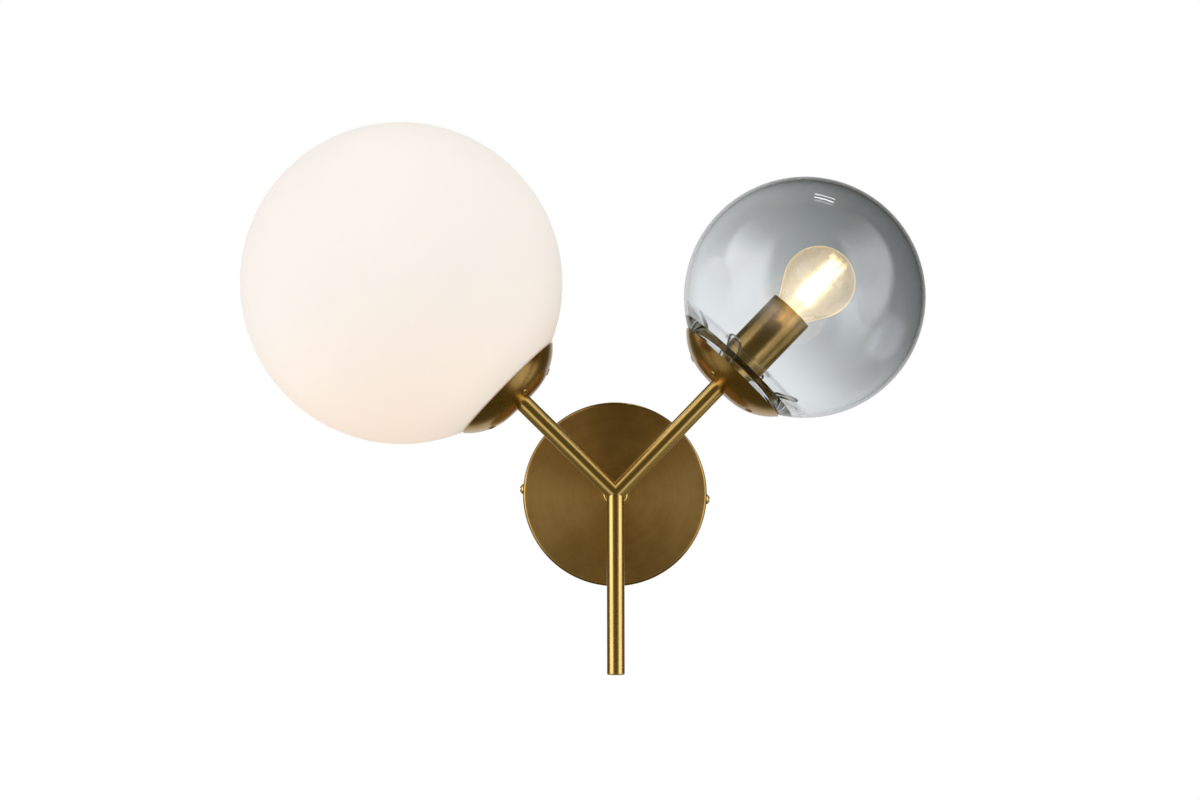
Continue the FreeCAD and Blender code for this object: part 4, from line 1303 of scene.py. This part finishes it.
    def threaded_ring(self, build: Build, height: float, low: float, high: float) -> list[Point]:
        """A ring of points whose radius follows the thread at its height.

        Args:
            build: The mesh under construction.
            height: The ring's height.
            low: Where the thread starts.
            high: Where it ends.

        Returns:
            The points.
        """
        fade = min(1.0, (height - low) / self.thread_pitch, (high - height) / self.thread_pitch)
        points = []
        for i in range(self.cap_segments):
            turn = math.tau * i / self.cap_segments
            wave = MIDDLE - MIDDLE * math.cos(math.tau * height / self.thread_pitch - turn)
            radius = self.cap_radius - self.thread_depth * wave * max(fade, 0.0)
            points.append(build.verts.new((radius * math.cos(turn), radius * math.sin(turn), height)))
        return points

    def build_stem(self) -> None:
        """Draws the glass stem between the filaments, flared where it joins the neck."""
        low = self.glass_bottom + self.wall
        foot = self.neck - 2 * self.wall
        radius = self.glass_stem
        top = self.filament_bottom + self.filament_length + 2 * self.wire
        narrow, rise = self.stem_foot
        outline = Outline(0.0, low).to(foot, low).to(foot * narrow, low + foot * rise)
        for thick, rise in self.stem_taper:
            outline.to(radius * thick, low + foot * rise)
        outline.to(radius, top - radius).around(0.0, top - radius, 0.0, top, END_STEP)
        stem = outline.spun(self.body + "_glass_stem", self.place, self.stem_segments)
        finish = ClearGlass("stem_glass", "clear_glass", foot=(0.97, 0.95, 0.90, 1.0),
                            head=(0.99, 0.98, 0.95, 1.0), tint_span=(low, top))
        settled(stem, finish, self.body, self.side + "_bulb_stem")

    def turned(self, i: int) -> Matrix:
        """The bulb's frame, turned to face one of its filaments."""
        return self.place @ Matrix.Rotation(math.tau * i / self.filament_count, 4, "Z")

    def build_filaments(self) -> None:
        """Casts the coated filaments, with round ends."""
        low, high = self.filament_bottom, self.filament_bottom + self.filament_length
        radius = self.filament_radius
        out = Matrix.Translation((self.filament_circle, 0.0, 0.0))
        rods = []
        for i in range(self.filament_count):
            outline = Outline(0.0, low).around(0.0, low + radius, radius, low + radius, END_STEP)
            outline.to(radius, high - radius).around(0.0, high - radius, 0.0, high, END_STEP)
            rods.append(outline.spun("filament", self.turned(i) @ out, self.filament_segments))
        lit = merged(self.body + "_lit_filaments", rods)
        settled(lit, FILAMENT, self.body, self.side + "_filaments")

    def build_frame(self) -> None:
        """Bends the wires that carry the filaments, and their collars on the glass stem."""
        wires = []
        inner = self.glass_stem + self.collar_gap
        outer = self.glass_stem + 2 * self.wire
        low = self.filament_bottom - self.wire
        high = self.filament_bottom + self.filament_length + self.wire
        for height in (low, high):
            collar = Outline(inner, height - self.wire).to(outer, height - self.wire)
            collar.to(outer, height + self.wire).to(inner, height + self.wire)
            wires.append(collar.spun("collar", self.place, self.collar_segments))
            lie = Matrix.Translation((0.0, 0.0, height)) @ Matrix.Rotation(math.pi / 2, 4, "Y")
            for i in range(self.filament_count):
                wires.append(rod("wire", self.wire, self.glass_stem + self.wire, self.filament_circle,
                                 self.turned(i) @ lie, self.wire_segments))
        frame_wires = merged(self.body + "_filament_wires", wires)
        settled(frame_wires, SPRING_WIRE, self.body, self.side + "_filament_frame")


@dataclass(frozen=True)
class MirroredRoom:
    """What metal and glass mirror: patches of light on the sphere of directions.

    A direction has x to the right, y away from the camera and z up, each from -1 to 1. A span says where the
    edge of a patch begins and where it ends.
    """

    dark: float = 0.10
    dark_colour: Colour = (1.0, 0.86, 0.40, 1.0)
    white_span: Span = (0.0, 0.5)

    box_shine: float = 1.75
    box_lean: float = 0.55
    box_foot_lean_share: float = 0.5
    box_outer: Span = (0.02, 0.22)
    box_inner: Span = (0.66, 0.84)
    box_foot: Span = (-0.75, -0.05)
    box_head: Span = (0.46, 0.92)
    box_right: Span = (0.0, 0.3)
    box_right_less: float = 0.15
    pole_guard: float = 0.001

    top_shine: float = 0.3
    top_height: Span = (0.55, 0.85)
    top_depth: Span = (-0.05, 0.3)
    top_width: Span = (0.15, 0.5)

    back_shine: float = 0.6
    back_depth: Span = (0.84, 0.95)
    back_low_depth: Span = (0.6, 0.8)
    back_low_fall: Span = (0.25, 0.6)

    side_shine: float = 0.5
    side_width: Span = (0.70, 0.80)
    side_front: Span = (-0.3, -0.05)
    side_back: Span = (0.4, 0.6)
    side_head: Span = (-0.3, -0.1)
    side_turn: Span = (-0.1, 0.1)
    side_left: float = 0.7
    side_right_more: float = 0.5

    glint_shine: float = 6.0
    glint_slant: float = 0.33
    glint_line: float = 0.363
    glint_apart: float = 0.045
    glint_thick: Span = (0.008, 0.020)
    glint_place: float = 0.21
    glint_width: Span = (0.08, 0.10)
    glint_height: Span = (0.6, 0.8)

    def boxes(self, x: Signal, y: Signal, z: Signal) -> Signal:
        """The two tall soft boxes beside the camera, leaning inward and a little weaker on the right.

        Args:
            x: How far the direction goes to the right.
            y: How far it goes away from the camera.
            z: How far it goes up.

        Returns:
            Their strength, from 0 to 1.
        """
        front = (0.0 - y) / ((1.0 - z * z) ** 0.5 + self.pole_guard)
        outer = (front + z * self.box_lean).rising(*self.box_outer)
        low_lean = (z - abs(z)) * self.box_lean * self.box_foot_lean_share
        inner = (front + low_lean).falling(*self.box_inner)
        boxes = outer * inner * z.rising(*self.box_foot) * z.falling(*self.box_head)
        return boxes * (1.0 - x.rising(*self.box_right) * self.box_right_less)

    def top(self, x: Signal, y: Signal, z: Signal) -> Signal:
        """The ceiling above the lamp."""
        return z.rising(*self.top_height) * y.rising(*self.top_depth) * abs(x).falling(*self.top_width)

    def back(self, y: Signal, z: Signal) -> Signal:
        """The wall behind the lamp, straight ahead and low down."""
        low = y.rising(*self.back_low_depth) * (0.0 - z).rising(*self.back_low_fall)
        return y.rising(*self.back_depth) + low

    def sides(self, x: Signal, y: Signal, z: Signal) -> Signal:
        """The low light at the left and the right, which is stronger on the right."""
        sides = abs(x).rising(*self.side_width) * y.rising(*self.side_front) * y.falling(*self.side_back)
        return sides * z.falling(*self.side_head) * (
            self.side_left + x.rising(*self.side_turn) * self.side_right_more)

    def glint(self, x: Signal, y: Signal, z: Signal) -> Signal:
        """Two narrow lights side by side, high up behind the lamp.

        Args:
            x: How far the direction goes to the right.
            y: How far it goes away from the camera.
            z: How far it goes up.

        Returns:
            Their strength, from 0 to 1.
        """
        line = abs(abs(y + x * self.glint_slant - self.glint_line) - self.glint_apart)
        wide = abs(x - self.glint_place).falling(*self.glint_width)
        return line.falling(*self.glint_thick) * wide * z.rising(*self.glint_height)

    def shine(self, x: Signal, y: Signal, z: Signal) -> Signal:
        """All the patches together.

        Args:
            x: How far the direction goes to the right.
            y: How far it goes away from the camera.
            z: How far it goes up.

        Returns:
            Their strength.
        """
        return (self.boxes(x, y, z) * self.box_shine + self.top(x, y, z) * self.top_shine
                + self.back(y, z) * self.back_shine + self.sides(x, y, z) * self.side_shine
                + self.glint(x, y, z) * self.glint_shine)


@dataclass
class Studio:
    """White surroundings, soft boxes and the camera at the photograph's angle."""

    room: MirroredRoom = MirroredRoom()
    fill_light: float = 0.5

    box_turn: float = math.radians(62.0)
    box_distance: float = 1.5
    box_rise: float = 0.12
    box_width: float = 0.75
    box_height: float = 2.0
    box_power: float = 6.0
    top_place: Axis = (0.1, -0.5, 1.4)
    top_width: float = 0.7
    top_height: float = 0.5
    top_power: float = 2.0

    floor_level: float = -0.34
    floor_radius: float = 6.0
    floor_segments: int = 96
    floor_pale: Colour = (0.94, 0.94, 0.935, 1.0)
    floor_grey: Colour = (0.91, 0.91, 0.905, 1.0)
    floor_cells: float = 9.0
    floor_roughness: float = 0.7
    floor_fade: Span = (0.3, 1.25)

    lens: float = 81.0
    sensor: float = 36.0
    eye: Axis = (-0.00769, -1.78697, -0.00971)
    yaw: float = math.radians(-0.0623)
    pitch: float = math.radians(2.3134)
    roll: float = math.radians(-0.1178)

    def build(self) -> None:
        """Sets up the camera, the light and the floor."""
        self.place_camera()
        self.place_lamps()
        self.paint_world()
        self.lay_floor()
        bpy.context.scene.view_settings.view_transform = "Standard"

    def place_camera(self) -> None:
        """Puts the camera where the photograph was taken."""
        data = bpy.data.cameras.new("photo_camera")
        data.lens = self.lens
        data.sensor_width = self.sensor
        camera = bpy.data.objects.new("photo_camera", data)
        look = Vector((math.sin(self.yaw) * math.cos(self.pitch), math.cos(self.yaw) * math.cos(self.pitch),
                       math.sin(self.pitch)))
        right = look.cross(UP).normalized()
        level = axes(Vector(self.eye), right, right.cross(look), -look)
        camera.matrix_world = level @ Matrix.Rotation(self.roll, 4, "Z")
        bpy.context.scene.collection.objects.link(camera)
        bpy.context.scene.camera = camera

    def lamp(self, name: str, place: Vector, width: float, height: float, power: float) -> None:
        """A soft box that faces the sconce and shows itself neither to the camera nor in or through glass.

        Args:
            name: Its name.
            place: Its middle.
            width: Its width.
            height: Its height.
            power: Its power in watts.
        """
        data = bpy.data.lights.new(name, "AREA")
        data.shape = "RECTANGLE"
        data.size = width
        data.size_y = height
        data.energy = power
        lamp = bpy.data.objects.new(name, data)
        lamp.matrix_world = Matrix.Translation(place) @ (-place).to_track_quat("-Z", "Y").to_matrix().to_4x4()
        lamp.visible_camera = False
        lamp.visible_glossy = False
        lamp.visible_transmission = False
        bpy.context.scene.collection.objects.link(lamp)

    def place_lamps(self) -> None:
        """A tall soft box on each side and a small one above."""
        for name, side in (("soft_box_left", -1), ("soft_box_right", 1)):
            place = Vector((side * math.sin(self.box_turn), -math.cos(self.box_turn), self.box_rise))
            self.lamp(name, place * self.box_distance, self.box_width, self.box_height, self.box_power)
        self.lamp("soft_box_top", Vector(self.top_place), self.top_width, self.top_height, self.top_power)

    def paint_world(self) -> None:
        """White where the eye looks, an even light for what is matt, the mirrored room for what shines."""
        world = bpy.data.worlds.new("white_room")
        world.use_nodes = True
        bpy.context.scene.world = world
        sheet = Sheet(world.node_tree)
        shine = self.room.shine(*sheet.sides(sheet.add("ShaderNodeTexCoord").outputs["Generated"]))
        seen = sheet.straight_view()
        diffuse = sheet.seen_by("Is Diffuse Ray")
        mirrored = (1.0 - seen) * (1.0 - diffuse)
        strength = seen + diffuse * self.fill_light + mirrored * (shine + self.room.dark)
        dark = mirrored * shine.falling(*self.room.white_span)
        light = sheet.add("ShaderNodeBackground", sockets={
            "Color": sheet.mixed(dark, WHITE, self.room.dark_colour), "Strength": strength})
        sheet.add("ShaderNodeOutputWorld", sockets={"Surface": light.outputs[0]})

    def lay_floor(self) -> None:
        """A wide pale floor that keeps the sconce's shadow and runs out to white."""
        build = bmesh.new()
        bmesh.ops.create_circle(build, cap_ends=True, segments=self.floor_segments, radius=self.floor_radius)
        floor = finished("pale_floor", build, Matrix.Translation((0.0, 0.0, self.floor_level)))
        material = bpy.data.materials.new("pale_floor")
        material.use_nodes = True
        sheet = Sheet(material.node_tree)
        place = sheet.place()
        mottle = sheet.noise(place, self.floor_cells)
        paint = sheet.add("ShaderNodeBsdfPrincipled", sockets={
            "Base Color": sheet.mixed(mottle, self.floor_pale, self.floor_grey),
            "Roughness": self.floor_roughness})
        white = sheet.add("ShaderNodeEmission", sockets={"Color": WHITE, "Strength": 1.0})
        far = sheet.length(place).rising(*self.floor_fade) * sheet.straight_view()
        surface = sheet.blended(far, paint.outputs[0], white.outputs[0])
        mirrored = 1.0 - sheet.unbounced("Glossy Depth")
        surface = sheet.blended(mirrored, surface, sheet.see_through(WHITE))
        sheet.add("ShaderNodeOutputMaterial", sockets={"Surface": surface})
        floor.data.materials.append(material)


def main() -> None:
    """Builds the sconce piece by piece, then the studio."""
    logging.basicConfig(level=logging.INFO, format="%(name)s %(message)s")
    WallPlate().build()
    Tubes().build()
    Head("left", "opal_globe", globe_radius=0.100, clip_turn=math.radians(12.0), glass=LIT_OPAL).build()
    Head("right", "smoked_globe", globe_radius=0.075, clip_turn=math.radians(-18.0), glass=SMOKE).build()
    Studio().build()


if __name__ == "__main__":
    main()
